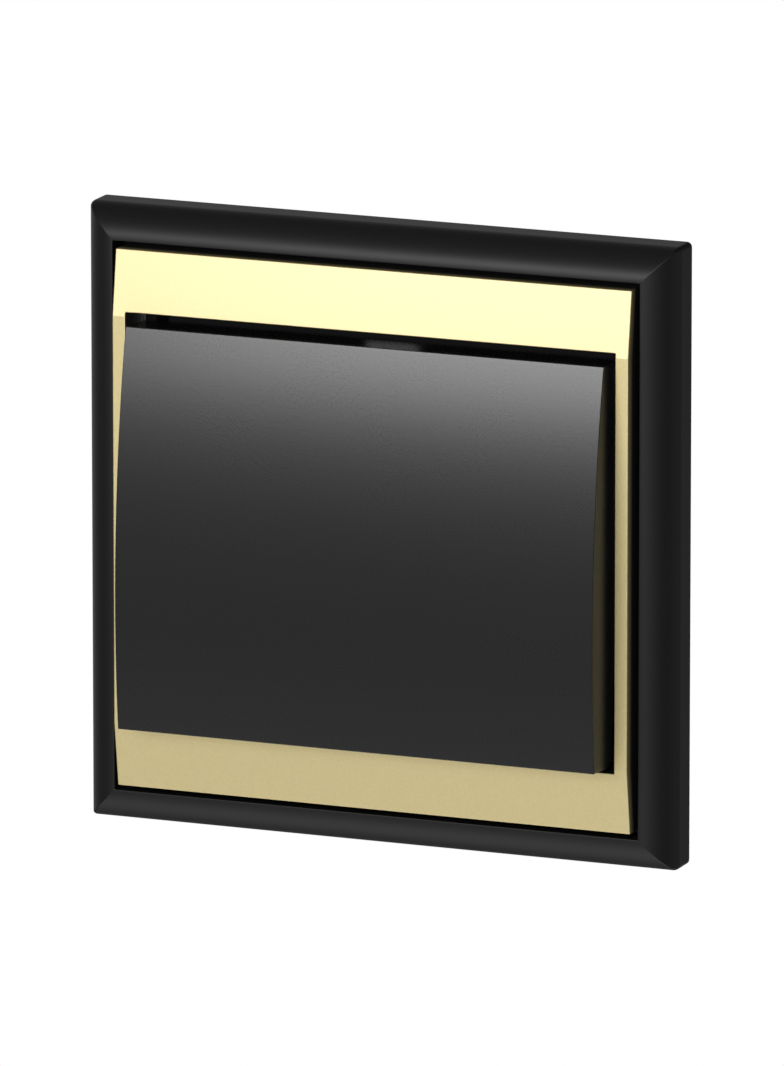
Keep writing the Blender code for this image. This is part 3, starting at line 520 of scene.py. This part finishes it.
# ---- housing -----------------------------------------------------------------------------------
def make_base_housing():
    bm = bmesh.new()
    stack(bm, [
        (octagon(HOUSING_HALF - 0.3 * MM, HOUSING_CORNER), HOUSING_FRONT),
        (octagon(HOUSING_HALF, HOUSING_CORNER), HOUSING_FRONT + 0.3 * MM),
        (octagon(HOUSING_HALF, HOUSING_CORNER), HOUSING_BACK - 0.9 * MM),
        (octagon(HOUSING_HALF - 0.9 * MM, HOUSING_CORNER), HOUSING_BACK),
    ])
    housing = piece("housing_body", bm, "base", "base_housing")
    bm = bmesh.new()
    prism(bm, octagon(*CAVITY), "Y", -1 * MM, HOUSING_FLOOR)
    for along in HOUSING_GROOVES:      # shallow grip grooves, top and bottom
        for up in sides((HOUSING_HALF - HOUSING_GROOVE, HOUSING_HALF + 1 * MM)):
            box(bm, (along - HOUSING_GROOVE, along + HOUSING_GROOVE), HOUSING_GROOVE_RUN, up)
    merge_tool(housing, bm, "DIFFERENCE")

    # ribs beside the contact chamber, the barrier between terminals, and the claws' lugs
    bm, floor = bmesh.new(), HOUSING_FLOOR + 0.5 * MM
    for side in (-1, 1):
        span = (-CHAMBER_RIB_HALF, CHAMBER_RIB_HALF)
        box(bm, mirrored(CHAMBER_RIB, side), (CHAMBER_RIB_FRONT, floor), span)
        for above in (-1, 1):
            reach = mirrored((HOUSING_HALF - 1 * MM, CLAW_LUG_REACH), side)
            box(bm, reach, CLAW_LUG_RUN, mirrored(CLAW_LUG_SPAN, above))
    merge_tool(housing, bm, "UNION")
    bm = bmesh.new()
    box(bm, (5 * MM, 18.5 * MM), (9 * MM, floor), (-0.6 * MM, 0.6 * MM))
    merge_tool(housing, bm, "UNION")

    bm, past = bmesh.new(), HOUSING_BACK + 1 * MM
    length, width, depth = TERMINAL_FIELD
    for _, side, middle in TERMINALS:
        field = slot_outline((side * TERMINAL_FIELD_X, middle), length, width, along_first=False)
        prism(bm, field, "Y", HOUSING_BACK - depth, past)
    merge_tool(housing, bm, "DIFFERENCE")
    bm = bmesh.new()
    for _, side, middle in TERMINALS:
        for step in (-WIRE_HOLE_STEP, WIRE_HOLE_STEP):
            hole = circle((side * WIRE_HOLE_X, middle + step), WIRE_HOLE_RADIUS)
            prism(bm, hole, "Y", HOUSING_FLOOR - 0.4 * MM, past)
        reach, high = LEVER_WINDOW
        box(bm, mirrored(reach, side), (HOUSING_FLOOR - 0.4 * MM, past), (middle - high, middle + high))
    for side in (-1, 1):
        prism(bm, circle((side * COVER_SCREW, side * COVER_SCREW), 1.4 * MM), "Y", -1 * MM, 13 * MM)
        prism(bm, circle((side * CLAW_AXIS[0], CLAW_AXIS[1]), 1.2 * MM), "Z", -9 * MM, 9 * MM)
    pocket = (20.8 * MM, HOUSING_FLOOR)
    for low, high in ((8.5 * MM, 14.5 * MM), (-14.5 * MM, -8.5 * MM)):
        box(bm, (4 * MM, 6 * MM), pocket, (low, high))
    box(bm, (-6 * MM, -4 * MM), pocket, (-2.8 * MM, 2.8 * MM))
    merge_tool(housing, bm, "DIFFERENCE")
    round_edges(housing, 0.1 * MM, segments=2)
    return housing


# ---- screws, nuts and springs ------------------------------------------------------------------
def make_screw(name, node, body, centre, head, shank, tip, cut):
    """A slotted screw: head profile, threaded shank (radius, start, end), tip and (width, depth) cut."""
    radius, start, end = shank
    rows = round((end - start) / (SCREW_PITCH / 8))
    steps, bm = 32, bmesh.new()
    loops = [[bm.verts.new((x, y, z)) for x, z in circle(centre, r, steps)] for r, y in head]
    for i in range(rows + 1):
        y, loop = start + (end - start) * i / rows, []
        for k in range(steps):
            turn = (k + 0.5) / steps
            flank = abs(2 * ((y / SCREW_PITCH - turn) % 1.0) - 1)
            reach = radius - THREAD_DEPTH * min(1.0, 1.5 * (1 - flank))
            x, z = reach * math.cos(2 * math.pi * turn), reach * math.sin(2 * math.pi * turn)
            loop.append(bm.verts.new((centre[0] + x, y, centre[1] + z)))
        loops.append(loop)
    loops += [[bm.verts.new((x, y, z)) for x, z in circle(centre, r, steps)] for r, y in tip]
    skin(bm, loops)
    screw = piece(name, bm, body, node)
    bm = bmesh.new()
    front, half, (width, depth) = head[0][1], 4 * MM, cut
    box(bm, (centre[0] - half, centre[0] + half), (front - 1 * MM, front + depth),
        (centre[1] - width / 2, centre[1] + width / 2))
    merge_tool(screw, bm, "DIFFERENCE")
    screw.data.set_sharp_from_angle(angle=math.radians(38))
    return screw


def cover_screw(name, side):
    head = ((0.9, -5.1), (1.45, -5.08), (1.8, -4.92), (2.02, -4.7), (2.1, -4.4), (2.1, -3.6), (2.0, -3.5))
    head = [(r * MM, y * MM) for r, y in head] + [(1.1 * MM, -3.5 * MM)]
    shank, tip = (1.1 * MM, -3.0 * MM, 10.8 * MM), [(0.7 * MM, 11.3 * MM), (0.3 * MM, 12.0 * MM)]
    centre = (side * COVER_SCREW, side * COVER_SCREW)
    return make_screw(f"cover_bolt_{name}", f"cover_screw_{name}", "base", centre,
                      head, shank, tip, (0.5 * MM, 0.9 * MM))


def claw_screw(name, side):
    head = ((1.2, -3.4), (1.8, -3.36), (2.2, -3.2), (2.48, -2.95), (2.6, -2.6), (2.6, -1.6), (2.5, -1.5))
    head = [(r * MM, y * MM) for r, y in head] + [(1.3 * MM, -1.5 * MM)]
    shank, tip = (1.3 * MM, -1.0 * MM, 17.2 * MM), [(1.05 * MM, 17.5 * MM), (0.8 * MM, 18.0 * MM)]
    return make_screw(f"claw_bolt_{name}", f"claw_screw_{name}", f"screw_{name}",
                      (side * CLAW_SCREW_X, 0.0), head, shank, tip, (0.7 * MM, 1.1 * MM))


def claw_nut(name, side):
    bm = bmesh.new()
    box(bm, mirrored((23.2 * MM, 26.8 * MM), side), (14.9 * MM, 17.2 * MM), (-3.2 * MM, 3.2 * MM))
    nut = piece(f"claw_plate_nut_{name}", bm, f"nut_{name}", f"claw_nut_{name}")
    bm = bmesh.new()
    bore = [(1.65, 14.7), (1.34, 15.15), (1.34, 16.95), (1.65, 17.4)]
    turned(bm, [(r * MM, y * MM) for r, y in bore], (side * CLAW_SCREW_X, 0.0))
    merge_tool(nut, bm, "DIFFERENCE")
    round_edges(nut, 0.15 * MM)
    return nut


def make_plunger():
    profile = [
        (0.8 * MM, 8 * MM),
        (2.0 * MM, 8 * MM),
        (PLUNGER_SHANK, 8.2 * MM),
        (PLUNGER_SHANK, 15.8 * MM),
        (2.12 * MM, 16.1 * MM),
        (PLUNGER_NOSE, 18.6 * MM),
    ]
    for i in range(12):
        angle = math.pi / 2 * i / 12
        along = PLUNGER_NOSE_CENTRE + PLUNGER_NOSE * math.sin(angle)
        profile.append((PLUNGER_NOSE * math.cos(angle), along))
    bm = bmesh.new()
    turned(bm, profile)
    plunger = piece("plunger_pin", bm, "plunger", "plunger")
    tilt_with_key(plunger)
    plunger.data.set_sharp_from_angle(angle=math.radians(40))
    return plunger


def make_plunger_spring():
    """A round wire on a helix, from the barrel's closed end to the plunger's back."""
    steps, around = 36, 10
    start, end = COIL_SPAN
    bm, loops = bmesh.new(), []
    for i in range(COIL_TURNS * steps + 1):
        angle, share = 2 * math.pi * i / steps, i / (COIL_TURNS * steps)
        outward = Vector((math.cos(angle), 0.0, math.sin(angle)))
        middle = outward * COIL_RADIUS + Vector((0.0, start + (end - start) * share, 0.0))
        loop = []
        for k in range(around):
            turn = 2 * math.pi * k / around
            away = outward * math.cos(turn) + Vector((0, math.sin(turn), 0))
            loop.append(bm.verts.new(middle + away * COIL_WIRE))
        loops.append(loop)
    skin(bm, loops)
    spring = piece("plunger_coil", bm, "rocker", "plunger_spring")
    tilt_with_key(spring)
    spring.data.set_sharp_from_angle(angle=math.radians(50))
    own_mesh(spring)
    return spring


def make_clamp_spring(name, side, middle):
    """A bent strip: a leg on the chamber's outer wall, a round bend and the free clamping leg."""
    bend, bend_y = CLAMP_BEND
    path, steps = [CLAMP_LEG], 24
    for i in range(steps + 1):
        angle = math.pi * i / steps
        path.append((CLAMP_LEG[0] - bend * (1 - math.cos(angle)), bend_y + bend * math.sin(angle)))
    path.append(CLAMP_FREE_END)
    bm = bmesh.new()
    outline = [(side * x, y) for x, y in ribbon(path, CLAMP_THICKNESS)]
    prism(bm, outline, "Z", middle - CLAMP_HALF_WIDTH, middle + CLAMP_HALF_WIDTH)
    spring = piece(f"clamp_strip_{name}", bm, "base", f"clamp_spring_{name}")
    round_edges(spring, 0.08 * MM, segments=2, angle=60)
    return spring


def make_release_lever(name, side, middle):
    outline = [(8.0, 17.0), (9.4, 17.0), (9.4, 23.4), (12.0, 23.4), (12.0, 25.5), (11.7, 25.8)]
    outline += [(10.7, 25.8), (10.1, 25.3), (9.5, 25.8), (8.3, 25.8), (8.0, 25.5)]
    outline = [(side * x * MM, y * MM) for x, y in outline]
    bm = bmesh.new()
    prism(bm, outline, "Z", middle - LEVER_HALF_WIDTH, middle + LEVER_HALF_WIDTH)
    lever = piece(f"release_key_{name}", bm, f"release_{name}", f"release_lever_{name}")
    round_edges(lever, 0.12 * MM)
    return lever


# ---- shared surface effects --------------------------------------------------------------------
def feed(tree, socket, value):
    if isinstance(value, bpy.types.NodeSocket):
        tree.links.new(value, socket)
    else:
        socket.default_value = value


def calculate(tree, operation, *values, clamp=False):
    made = tree.nodes.new("ShaderNodeMath")
    made.operation = operation
    made.use_clamp = clamp
    for socket, value in zip(made.inputs, values):
        feed(tree, socket, value)
    return made.outputs["Value"]


def noise(tree, vector, scale, detail=2.0):
    made = tree.nodes.new("ShaderNodeTexNoise")
    feed(tree, made.inputs["Vector"], vector)
    feed(tree, made.inputs["Scale"], scale)
    made.inputs["Detail"].default_value = detail
    return made.outputs["Fac"]


def swing(tree, value, amount):
    """1 plus or minus amount, as value runs from 0 to 1."""
    centred = calculate(tree, "SUBTRACT", value, 0.5)
    doubled = calculate(tree, "MULTIPLY", centred, 2.0)
    return calculate(tree, "ADD", calculate(tree, "MULTIPLY", doubled, amount), 1.0)


def shade_by(tree, colour, factor):
    """A colour made lighter or darker by a factor."""
    made = tree.nodes.new("ShaderNodeVectorMath")
    made.operation = "SCALE"
    feed(tree, made.inputs[0], colour)
    feed(tree, made.inputs["Scale"], factor)
    return made.outputs["Vector"]


def blend(tree, share, first, second):
    made = tree.nodes.new("ShaderNodeMix")
    made.data_type = "RGBA"
    feed(tree, made.inputs[0], share)
    feed(tree, made.inputs[6], first)
    feed(tree, made.inputs[7], second)
    return made.outputs[2]


def facing(tree):
    """The parts of the surface's outward direction along X, Y and Z."""
    made = tree.nodes.new("ShaderNodeSeparateXYZ")
    feed(tree, made.inputs["Vector"], tree.nodes.new("ShaderNodeNewGeometry").outputs["Normal"])
    return made.outputs


def group(name, inputs, outputs):
    """A node group and its ends. Inputs are (name, kind, value), outputs (name, kind)."""
    tree = bpy.data.node_groups.new(name, "ShaderNodeTree")
    for label, kind, value in inputs:
        socket = tree.interface.new_socket(label, in_out="INPUT", socket_type=f"NodeSocket{kind}")
        if value is not None:
            socket.default_value = value
    for label, kind in outputs:
        tree.interface.new_socket(label, in_out="OUTPUT", socket_type=f"NodeSocket{kind}")
    return tree, tree.nodes.new("NodeGroupInput").outputs, tree.nodes.new("NodeGroupOutput").inputs


def make_moulded_skin():
    """Moulded plastic: fine spark-eroded texture, slow drift of tone and a slightly uneven sheen."""
    tree, given, out = group(
        "moulded_skin",
        [("Vector", "Vector", None), ("Colour", "Color", (0.5, 0.5, 0.5, 1.0)), ("Roughness", "Float", 0.4),
         ("Grain", "Float", 6000.0), ("Drift", "Float", 0.08)],
        [("Colour", "Color"), ("Roughness", "Float"), ("Height", "Float")],
    )
    slow = noise(tree, given["Vector"], 90.0, 3.0)
    fine = noise(tree, given["Vector"], given["Grain"], 3.0)
    tone = calculate(tree, "MULTIPLY", swing(tree, slow, given["Drift"]), swing(tree, fine, 0.05))
    feed(tree, out["Colour"], shade_by(tree, given["Colour"], tone))
    slow_sheen = swing(tree, slow, calculate(tree, "MULTIPLY", given["Drift"], 0.4))
    sheen = calculate(tree, "MULTIPLY", slow_sheen, swing(tree, fine, 0.04))
    feed(tree, out["Roughness"], calculate(tree, "MULTIPLY", given["Roughness"], sheen))
    feed(tree, out["Height"], fine)
    return tree


def make_rolled_metal():
    """Rolled strip: long fine lines one way, over a faint cloud of tone."""
    tree, given, out = group(
        "rolled_metal",
        [("Vector", "Vector", None), ("Colour", "Color", (0.6, 0.6, 0.6, 1.0)), ("Roughness", "Float", 0.3),
         ("Lines", "Float", 5000.0), ("Amount", "Float", 0.15)],
        [("Colour", "Color"), ("Roughness", "Float"), ("Height", "Float")],
    )
    stretch = tree.nodes.new("ShaderNodeVectorMath")
    stretch.operation = "MULTIPLY"
    feed(tree, stretch.inputs[0], given["Vector"])
    stretch.inputs[1].default_value = (1.0, 0.03, 1.0)
    lines = noise(tree, stretch.outputs["Vector"], given["Lines"], 4.0)
    cloud = noise(tree, given["Vector"], 250.0, 3.0)
    tone = calculate(tree, "MULTIPLY", swing(tree, lines, 0.05), swing(tree, cloud, 0.06))
    feed(tree, out["Colour"], shade_by(tree, given["Colour"], tone))
    sheen = swing(tree, lines, given["Amount"])
    feed(tree, out["Roughness"], calculate(tree, "MULTIPLY", given["Roughness"], sheen))
    feed(tree, out["Height"], lines)
    return tree


def make_film_tint():
    """Thin film over plated or bare metal: drifts between the metal's colour and a second tint."""
    tree, given, out = group(
        "film_tint",
        [("Vector", "Vector", None), ("Colour", "Color", (0.6, 0.6, 0.6, 1.0)),
         ("Tint", "Color", (0.6, 0.6, 0.5, 1.0)), ("Size", "Float", 300.0), ("Amount", "Float", 0.4)],
        [("Colour", "Color"), ("Mask", "Float")],
    )
    cloud = noise(tree, given["Vector"], given["Size"], 4.0)
    steep = calculate(tree, "MULTIPLY", calculate(tree, "SUBTRACT", cloud, 0.4), 4.0, clamp=True)
    share = calculate(tree, "MULTIPLY", steep, given["Amount"])
    feed(tree, out["Colour"], blend(tree, share, given["Colour"], given["Tint"]))
    feed(tree, out["Mask"], share)
    return tree


def make_lacquer_flake():
    """Metal flakes in lacquer: each small cell a little lighter or darker than the next."""
    tree, given, out = group(
        "lacquer_flake",
        [("Vector", "Vector", None), ("Size", "Float", 7000.0), ("Amount", "Float", 0.06)],
        [("Tone", "Float"), ("Height", "Float")],
    )
    cells = tree.nodes.new("ShaderNodeTexVoronoi")
    feed(tree, cells.inputs["Vector"], given["Vector"])
    feed(tree, cells.inputs["Scale"], given["Size"])
    split = tree.nodes.new("ShaderNodeSeparateColor")
    feed(tree, split.inputs["Color"], cells.outputs["Color"])
    feed(tree, out["Tone"], swing(tree, split.outputs["Red"], given["Amount"]))
    feed(tree, out["Height"], split.outputs["Green"])
    return tree


def make_gap_shade_mask():
    """1 on the gold front. It fades out with depth down the walls: painted shade in the gaps, black deeper
    in.
    """
    tree, given, out = group(
        "gap_shade_mask",
        [("Vector", "Vector", None), ("Reach", "Float", 1.6 * MM), ("Outside", "Float", 0.5),
         ("Inside", "Float", 0.04)],
        [("Mask", "Float")],
    )
    ridge_z, ridge_y = TRIM_RIDGE
    slope = (TRIM_EDGE - ridge_y) / (TRIM_HALF_Z - ridge_z)
    place = tree.nodes.new("ShaderNodeSeparateXYZ")
    feed(tree, place.inputs["Vector"], given["Vector"])
    past = calculate(tree, "SUBTRACT", calculate(tree, "ABSOLUTE", place.outputs["Z"]), ridge_z)
    fall = calculate(tree, "MULTIPLY", calculate(tree, "MAXIMUM", past, 0.0), slope)
    depth = calculate(tree, "SUBTRACT", calculate(tree, "SUBTRACT", place.outputs["Y"], ridge_y), fall)
    near = calculate(tree, "SUBTRACT", 1.0, calculate(tree, "DIVIDE", depth, given["Reach"]), clamp=True)
    across = calculate(tree, "ABSOLUTE", place.outputs["X"])
    along = calculate(tree, "ABSOLUTE", place.outputs["Z"])
    outside = calculate(tree, "GREATER_THAN", calculate(tree, "MAXIMUM", across, along), GAP_SHADE_OUTER_EDGE)
    extra = calculate(tree, "SUBTRACT", given["Outside"], given["Inside"])
    reach = calculate(tree, "MULTIPLY", outside, extra)
    wall = calculate(tree, "MULTIPLY", near, calculate(tree, "ADD", reach, given["Inside"]))
    toward = calculate(tree, "MULTIPLY", facing(tree)["Y"], -1.0)
    front = calculate(tree, "MULTIPLY", calculate(tree, "SUBTRACT", toward, 0.25), 2.5, clamp=True)
    shallow = calculate(tree, "LESS_THAN", depth, 1.0 * MM)
    face = calculate(tree, "MULTIPLY", front, shallow)
    feed(tree, out["Mask"], calculate(tree, "MAXIMUM", wall, face))
    return tree


def make_side_faces():
    """1 on the left and right sides, 0 on the front."""
    tree, _, out = group("side_faces", [], [("Mask", "Float")])
    past = calculate(tree, "SUBTRACT", calculate(tree, "ABSOLUTE", facing(tree)["X"]), 0.6)
    feed(tree, out["Mask"], calculate(tree, "MULTIPLY", past, 4.0, clamp=True))
    return tree


def make_settled_dust():
    """A thin mask on surfaces that face up, broken up by fine noise."""
    tree, given, out = group(
        "settled_dust",
        [("Vector", "Vector", None), ("Amount", "Float", 0.1)],
        [("Mask", "Float")],
    )
    up = calculate(tree, "MULTIPLY", calculate(tree, "SUBTRACT", facing(tree)["Z"], 0.3), 1.4, clamp=True)
    specks = calculate(tree, "MULTIPLY", noise(tree, given["Vector"], 2500.0, 4.0), given["Amount"])
    feed(tree, out["Mask"], calculate(tree, "MULTIPLY", up, specks))
    return tree


MOULDED_SKIN = make_moulded_skin()
ROLLED_METAL = make_rolled_metal()
FILM_TINT = make_film_tint()
LACQUER_FLAKE = make_lacquer_flake()
GAP_SHADE_MASK = make_gap_shade_mask()
SIDE_FACES = make_side_faces()
SETTLED_DUST = make_settled_dust()


# ---- materials ---------------------------------------------------------------------------------
def new_material(name, roughness, metallic=0.0, specular=0.5):
    material = bpy.data.materials.new(name)
    material.use_nodes = True
    tree = material.node_tree
    shader = tree.nodes["Principled BSDF"]
    shader.inputs["Roughness"].default_value = roughness
    shader.inputs["Metallic"].default_value = metallic
    shader.inputs["Specular IOR Level"].default_value = specular
    return material, tree, shader, tree.nodes.new("ShaderNodeTexCoord").outputs["Object"]


def use(tree, shared, **values):
    """A shared effect placed in a material. Names with a space are written with an underscore."""
    made = tree.nodes.new("ShaderNodeGroup")
    made.node_tree = shared
    for label, value in values.items():
        feed(tree, made.inputs[label.replace("_", " ")], value)
    return made.outputs


def emboss(tree, shader, height, distance):
    bump = tree.nodes.new("ShaderNodeBump")
    bump.inputs["Distance"].default_value = distance
    feed(tree, bump.inputs["Height"], height)
    feed(tree, shader.inputs["Normal"], bump.outputs["Normal"])


def moulded(name, colour, roughness, specular=0.5, grain=6000.0, depth=0.002, drift=0.08,
            dust=0.0, side=0.0):
    """Plastic or coated metal with a moulded skin. Depth is the texture's height in millimetres.

    Side is the roughness added on the left and right sides.
    """
    material, tree, shader, place = new_material(name, roughness, 0.0, specular)
    skin_out = use(tree, MOULDED_SKIN, Vector=place, Colour=(*colour, 1.0), Roughness=roughness,
                   Grain=grain, Drift=drift)
    colour_out = skin_out["Colour"]
    if dust:
        mask = use(tree, SETTLED_DUST, Vector=place, Amount=dust)["Mask"]
        colour_out = blend(tree, mask, colour_out, (*DUST_GREY, 1.0))
    feed(tree, shader.inputs["Base Color"], colour_out)
    sheen = skin_out["Roughness"]
    if side:
        added = calculate(tree, "MULTIPLY", use(tree, SIDE_FACES)["Mask"], side)
        sheen = calculate(tree, "ADD", sheen, added)
    feed(tree, shader.inputs["Roughness"], sheen)
    emboss(tree, shader, skin_out["Height"], depth * MM)
    return material


def metal(name, colour, tint, roughness, lines=5000.0, depth=0.001, amount=0.15, film=0.4, size=300.0):
    """Rolled or plated metal with a faint film."""
    material, tree, shader, place = new_material(name, roughness, 1.0)
    film_out = use(tree, FILM_TINT, Vector=place, Colour=(*colour, 1.0), Tint=(*tint, 1.0),
                   Size=size, Amount=film)
    strip = use(tree, ROLLED_METAL, Vector=place, Colour=film_out["Colour"], Roughness=roughness,
                Lines=lines, Amount=amount)
    feed(tree, shader.inputs["Base Color"], strip["Colour"])
    dulled = calculate(tree, "ADD", strip["Roughness"], calculate(tree, "MULTIPLY", film_out["Mask"], 0.12))
    feed(tree, shader.inputs["Roughness"], dulled)
    emboss(tree, shader, strip["Height"], depth * MM)
    return material


def gold_lacquer():
    """Pale gold metal lacquer under a clear coat. Below the edges, the walls fade to black with depth:
    painted shade in the gaps.
    """
    material, tree, shader, place = new_material("trim_gold", GOLD_ROUGHNESS, 1.0)
    flake = use(tree, LACQUER_FLAKE, Vector=place, Size=7000.0, Amount=0.05)
    # painted shade: the gold fades to black with depth down the walls of the gaps
    mask = use(tree, GAP_SHADE_MASK, Vector=place)["Mask"]
    gap_shade = use(tree, MOULDED_SKIN, Vector=place, Colour=(*GAP_SHADE_BLACK, 1.0), Roughness=0.5)
    gold_front = shade_by(tree, GOLD_COLOUR, flake["Tone"])
    feed(tree, shader.inputs["Base Color"], blend(tree, mask, gap_shade["Colour"], gold_front))
    feed(tree, shader.inputs["Metallic"], mask)
    uneven = calculate(tree, "MULTIPLY", flake["Tone"], GOLD_ROUGHNESS)
    feed(tree, shader.inputs["Roughness"], uneven)
    weight, coat_roughness, index = GOLD_COAT
    feed(tree, shader.inputs["Coat Weight"], calculate(tree, "MULTIPLY", mask, weight))
    shader.inputs["Coat Roughness"].default_value = coat_roughness
    shader.inputs["Coat IOR"].default_value = index
    emboss(tree, shader, flake["Height"], 0.0006 * MM)
    return material


FRAME_BLACK = moulded("frame_black", (0.006, 0.006, 0.0062), 0.42, specular=0.35, grain=9000.0, depth=0.001)
KEY_BLACK = moulded("key_black", (0.007, 0.007, 0.0072), 0.272, specular=0.56, grain=9000.0,
                     depth=0.0003, drift=0.03, side=0.1)
TRIM_GOLD = gold_lacquer()
PLATE_BLACK = moulded("plate_black", (0.006, 0.006, 0.006), 0.6, specular=0.2, grain=4000.0, depth=0.003)
HOUSING_GREY = moulded("housing_grey", (0.30, 0.31, 0.32), 0.5, grain=5000.0, depth=0.004, dust=0.25)
CRADLE_WHITE = moulded("cradle_white", (0.75, 0.75, 0.72), 0.45, depth=0.002)
LEVER_ORANGE = moulded("lever_orange", (0.75, 0.22, 0.04), 0.35, depth=0.001)
ZINC = metal("zinc_bright", (0.62, 0.63, 0.64), (0.60, 0.58, 0.50), 0.33, lines=2500.0, film=0.5)
SPRING = metal("spring_bright", (0.50, 0.50, 0.51), (0.42, 0.38, 0.33), 0.28, amount=0.25, film=0.3)
BRASS = metal("contact_brass", (0.72, 0.52, 0.22), (0.45, 0.28, 0.12), 0.32, amount=0.2, film=0.35)
SILVER = metal("contact_silver", (0.84, 0.83, 0.80), (0.55, 0.50, 0.42), 0.28, lines=9000.0, film=0.3,
               size=900.0)


def wear(obj, material):
    obj.data.materials.clear()
    obj.data.materials.append(material)


def dress(node, material, width, segments=2, angle=35):
    """A CAD piece kept as it is, with rounded edges and a finish of its own."""
    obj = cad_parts[node]
    for slot in obj.material_slots:
        slot.link = "OBJECT"
        slot.material = material
    round_edges(obj, width, segments, angle, weld=True)


def build_switch():
    wear(make_outer_frame(), FRAME_BLACK)
    wear(make_trim(), TRIM_GOLD)
    wear(make_key(), KEY_BLACK)
    wear(make_support_plate(), PLATE_BLACK)
    wear(make_base_housing(), HOUSING_GREY)
    wear(make_plunger(), CRADLE_WHITE)
    wear(make_plunger_spring(), SPRING)
    for name, side in (("upper", 1), ("lower", -1)):
        wear(cover_screw(name, side), ZINC)
    for name, side in (("right", 1), ("left", -1)):
        wear(claw_screw(name, side), ZINC)
        wear(claw_nut(name, side), ZINC)
        dress(f"claw_{name}", ZINC, 0.12 * MM)
    for name, side, middle in TERMINALS:
        wear(make_clamp_spring(name, side, middle), SPRING)
        wear(make_release_lever(name, side, middle), LEVER_ORANGE)
    dress("housing_cover", HOUSING_GREY, 0.15 * MM)
    dress("rocker_cradle", CRADLE_WHITE, 0.15 * MM)
    for node in ("contact_seesaw", "common_contact", "fixed_contact_upper", "fixed_contact_lower"):
        dress(node, BRASS, 0.08 * MM)
    for node in ("moving_tip_upper", "moving_tip_lower", "fixed_tip_upper", "fixed_tip_lower"):
        dress(node, SILVER, 0.08 * MM)


build_switch()


# ---- setting up the camera, the lamps and the floor --------------------------------------------
def direction(azimuth, elevation):
    """Unit vector from the switch: azimuth 0 is straight in front, positive to its right."""
    a, e = math.radians(azimuth), math.radians(elevation)
    return Vector((math.sin(a) * math.cos(e), -math.cos(a) * math.cos(e), math.sin(e)))


def place_camera():
    data = bpy.data.cameras.new("camera")
    data.sensor_width = 36.0
    data.lens = CAMERA_LENS
    data.clip_start, data.clip_end = 0.05, 100.0
    camera = bpy.data.objects.new("camera", data)
    back = direction(*CAMERA_ANGLES)
    camera.location = Vector(CAMERA_AIM) + back * CAMERA_DISTANCE
    camera.rotation_euler = (-back).to_track_quat("-Z", "Y").to_euler()
    bpy.context.scene.collection.objects.link(camera)
    bpy.context.scene.camera = camera


def soft_panel(name, azimuth, elevation, distance, width, height, watts):
    data = bpy.data.lights.new(name, "AREA")
    data.shape = "RECTANGLE"
    data.size, data.size_y = width, height
    data.energy = watts
    lamp = bpy.data.objects.new(name, data)
    toward = direction(azimuth, elevation)
    lamp.location = toward * distance
    lamp.rotation_euler = (-toward).to_track_quat("-Z", "Y").to_euler()
    bpy.context.scene.collection.objects.link(lamp)


def light_studio():
    """A panel above the left shoulder, a small one behind, and a dim room that glows softly in places."""
    soft_panel("key_panel", *FRONT_LAMP)
    soft_panel("back_panel", *BACK_LAMP)
    world = bpy.data.worlds.new("studio")
    bpy.context.scene.world = world
    world.use_nodes = True
    tree = world.node_tree
    tree.nodes.clear()
    view = tree.nodes.new("ShaderNodeTexCoord").outputs["Generated"]
    glow = 0.0
    for azimuth, elevation, strength, focus in GLOWS:
        toward = tree.nodes.new("ShaderNodeVectorMath")
        toward.operation = "DOT_PRODUCT"
        feed(tree, toward.inputs[0], view)
        toward.inputs[1].default_value = direction(azimuth, elevation)
        narrow = calculate(tree, "MULTIPLY_ADD", toward.outputs["Value"], focus, -focus)
        share = calculate(tree, "MULTIPLY", calculate(tree, "EXPONENT", narrow), strength)
        glow = calculate(tree, "ADD", glow, share)
    room, backdrop = tree.nodes.new("ShaderNodeBackground"), tree.nodes.new("ShaderNodeBackground")
    room.inputs["Color"].default_value = (1.0, 1.0, 1.0, 1.0)
    feed(tree, room.inputs["Strength"], glow)
    backdrop.inputs["Color"].default_value = (1.0, 1.0, 1.0, 1.0)
    mix, path = tree.nodes.new("ShaderNodeMixShader"), tree.nodes.new("ShaderNodeLightPath")
    feed(tree, mix.inputs["Fac"], path.outputs["Is Camera Ray"])
    feed(tree, mix.inputs[1], room.outputs["Background"])
    feed(tree, mix.inputs[2], backdrop.outputs["Background"])
    output = tree.nodes.new("ShaderNodeOutputWorld")
    feed(tree, output.inputs["Surface"], mix.outputs["Shader"])
    bpy.context.scene.view_settings.view_transform = "Standard"


def lay_floor():
    """A plain pale floor far below, seen from above only. It adds no light of its own to the switch."""
    bm = bmesh.new()
    bmesh.ops.create_grid(bm, x_segments=1, y_segments=1, size=FLOOR_HALF)
    mesh = bpy.data.meshes.new("floor")
    bm.to_mesh(mesh)
    bm.free()
    floor = bpy.data.objects.new("floor", mesh)
    floor.location = (0.0, 0.0, FLOOR_LEVEL)
    bpy.context.scene.collection.objects.link(floor)
    material = bpy.data.materials.new("floor_pale")
    material.use_nodes = True
    nodes, links = material.node_tree.nodes, material.node_tree.links
    nodes.clear()
    output = nodes.new("ShaderNodeOutputMaterial")
    pale, clear = nodes.new("ShaderNodeEmission"), nodes.new("ShaderNodeBsdfTransparent")
    pale.inputs["Color"].default_value = (1.0, 1.0, 1.0, 1.0)
    mix, geometry = nodes.new("ShaderNodeMixShader"), nodes.new("ShaderNodeNewGeometry")
    links.new(geometry.outputs["Backfacing"], mix.inputs["Fac"])
    links.new(pale.outputs["Emission"], mix.inputs[1])
    links.new(clear.outputs["BSDF"], mix.inputs[2])
    links.new(mix.outputs["Shader"], output.inputs["Surface"])
    mesh.materials.append(material)
    floor.visible_diffuse = floor.visible_glossy = floor.visible_shadow = False


place_camera()
light_studio()
lay_floor()
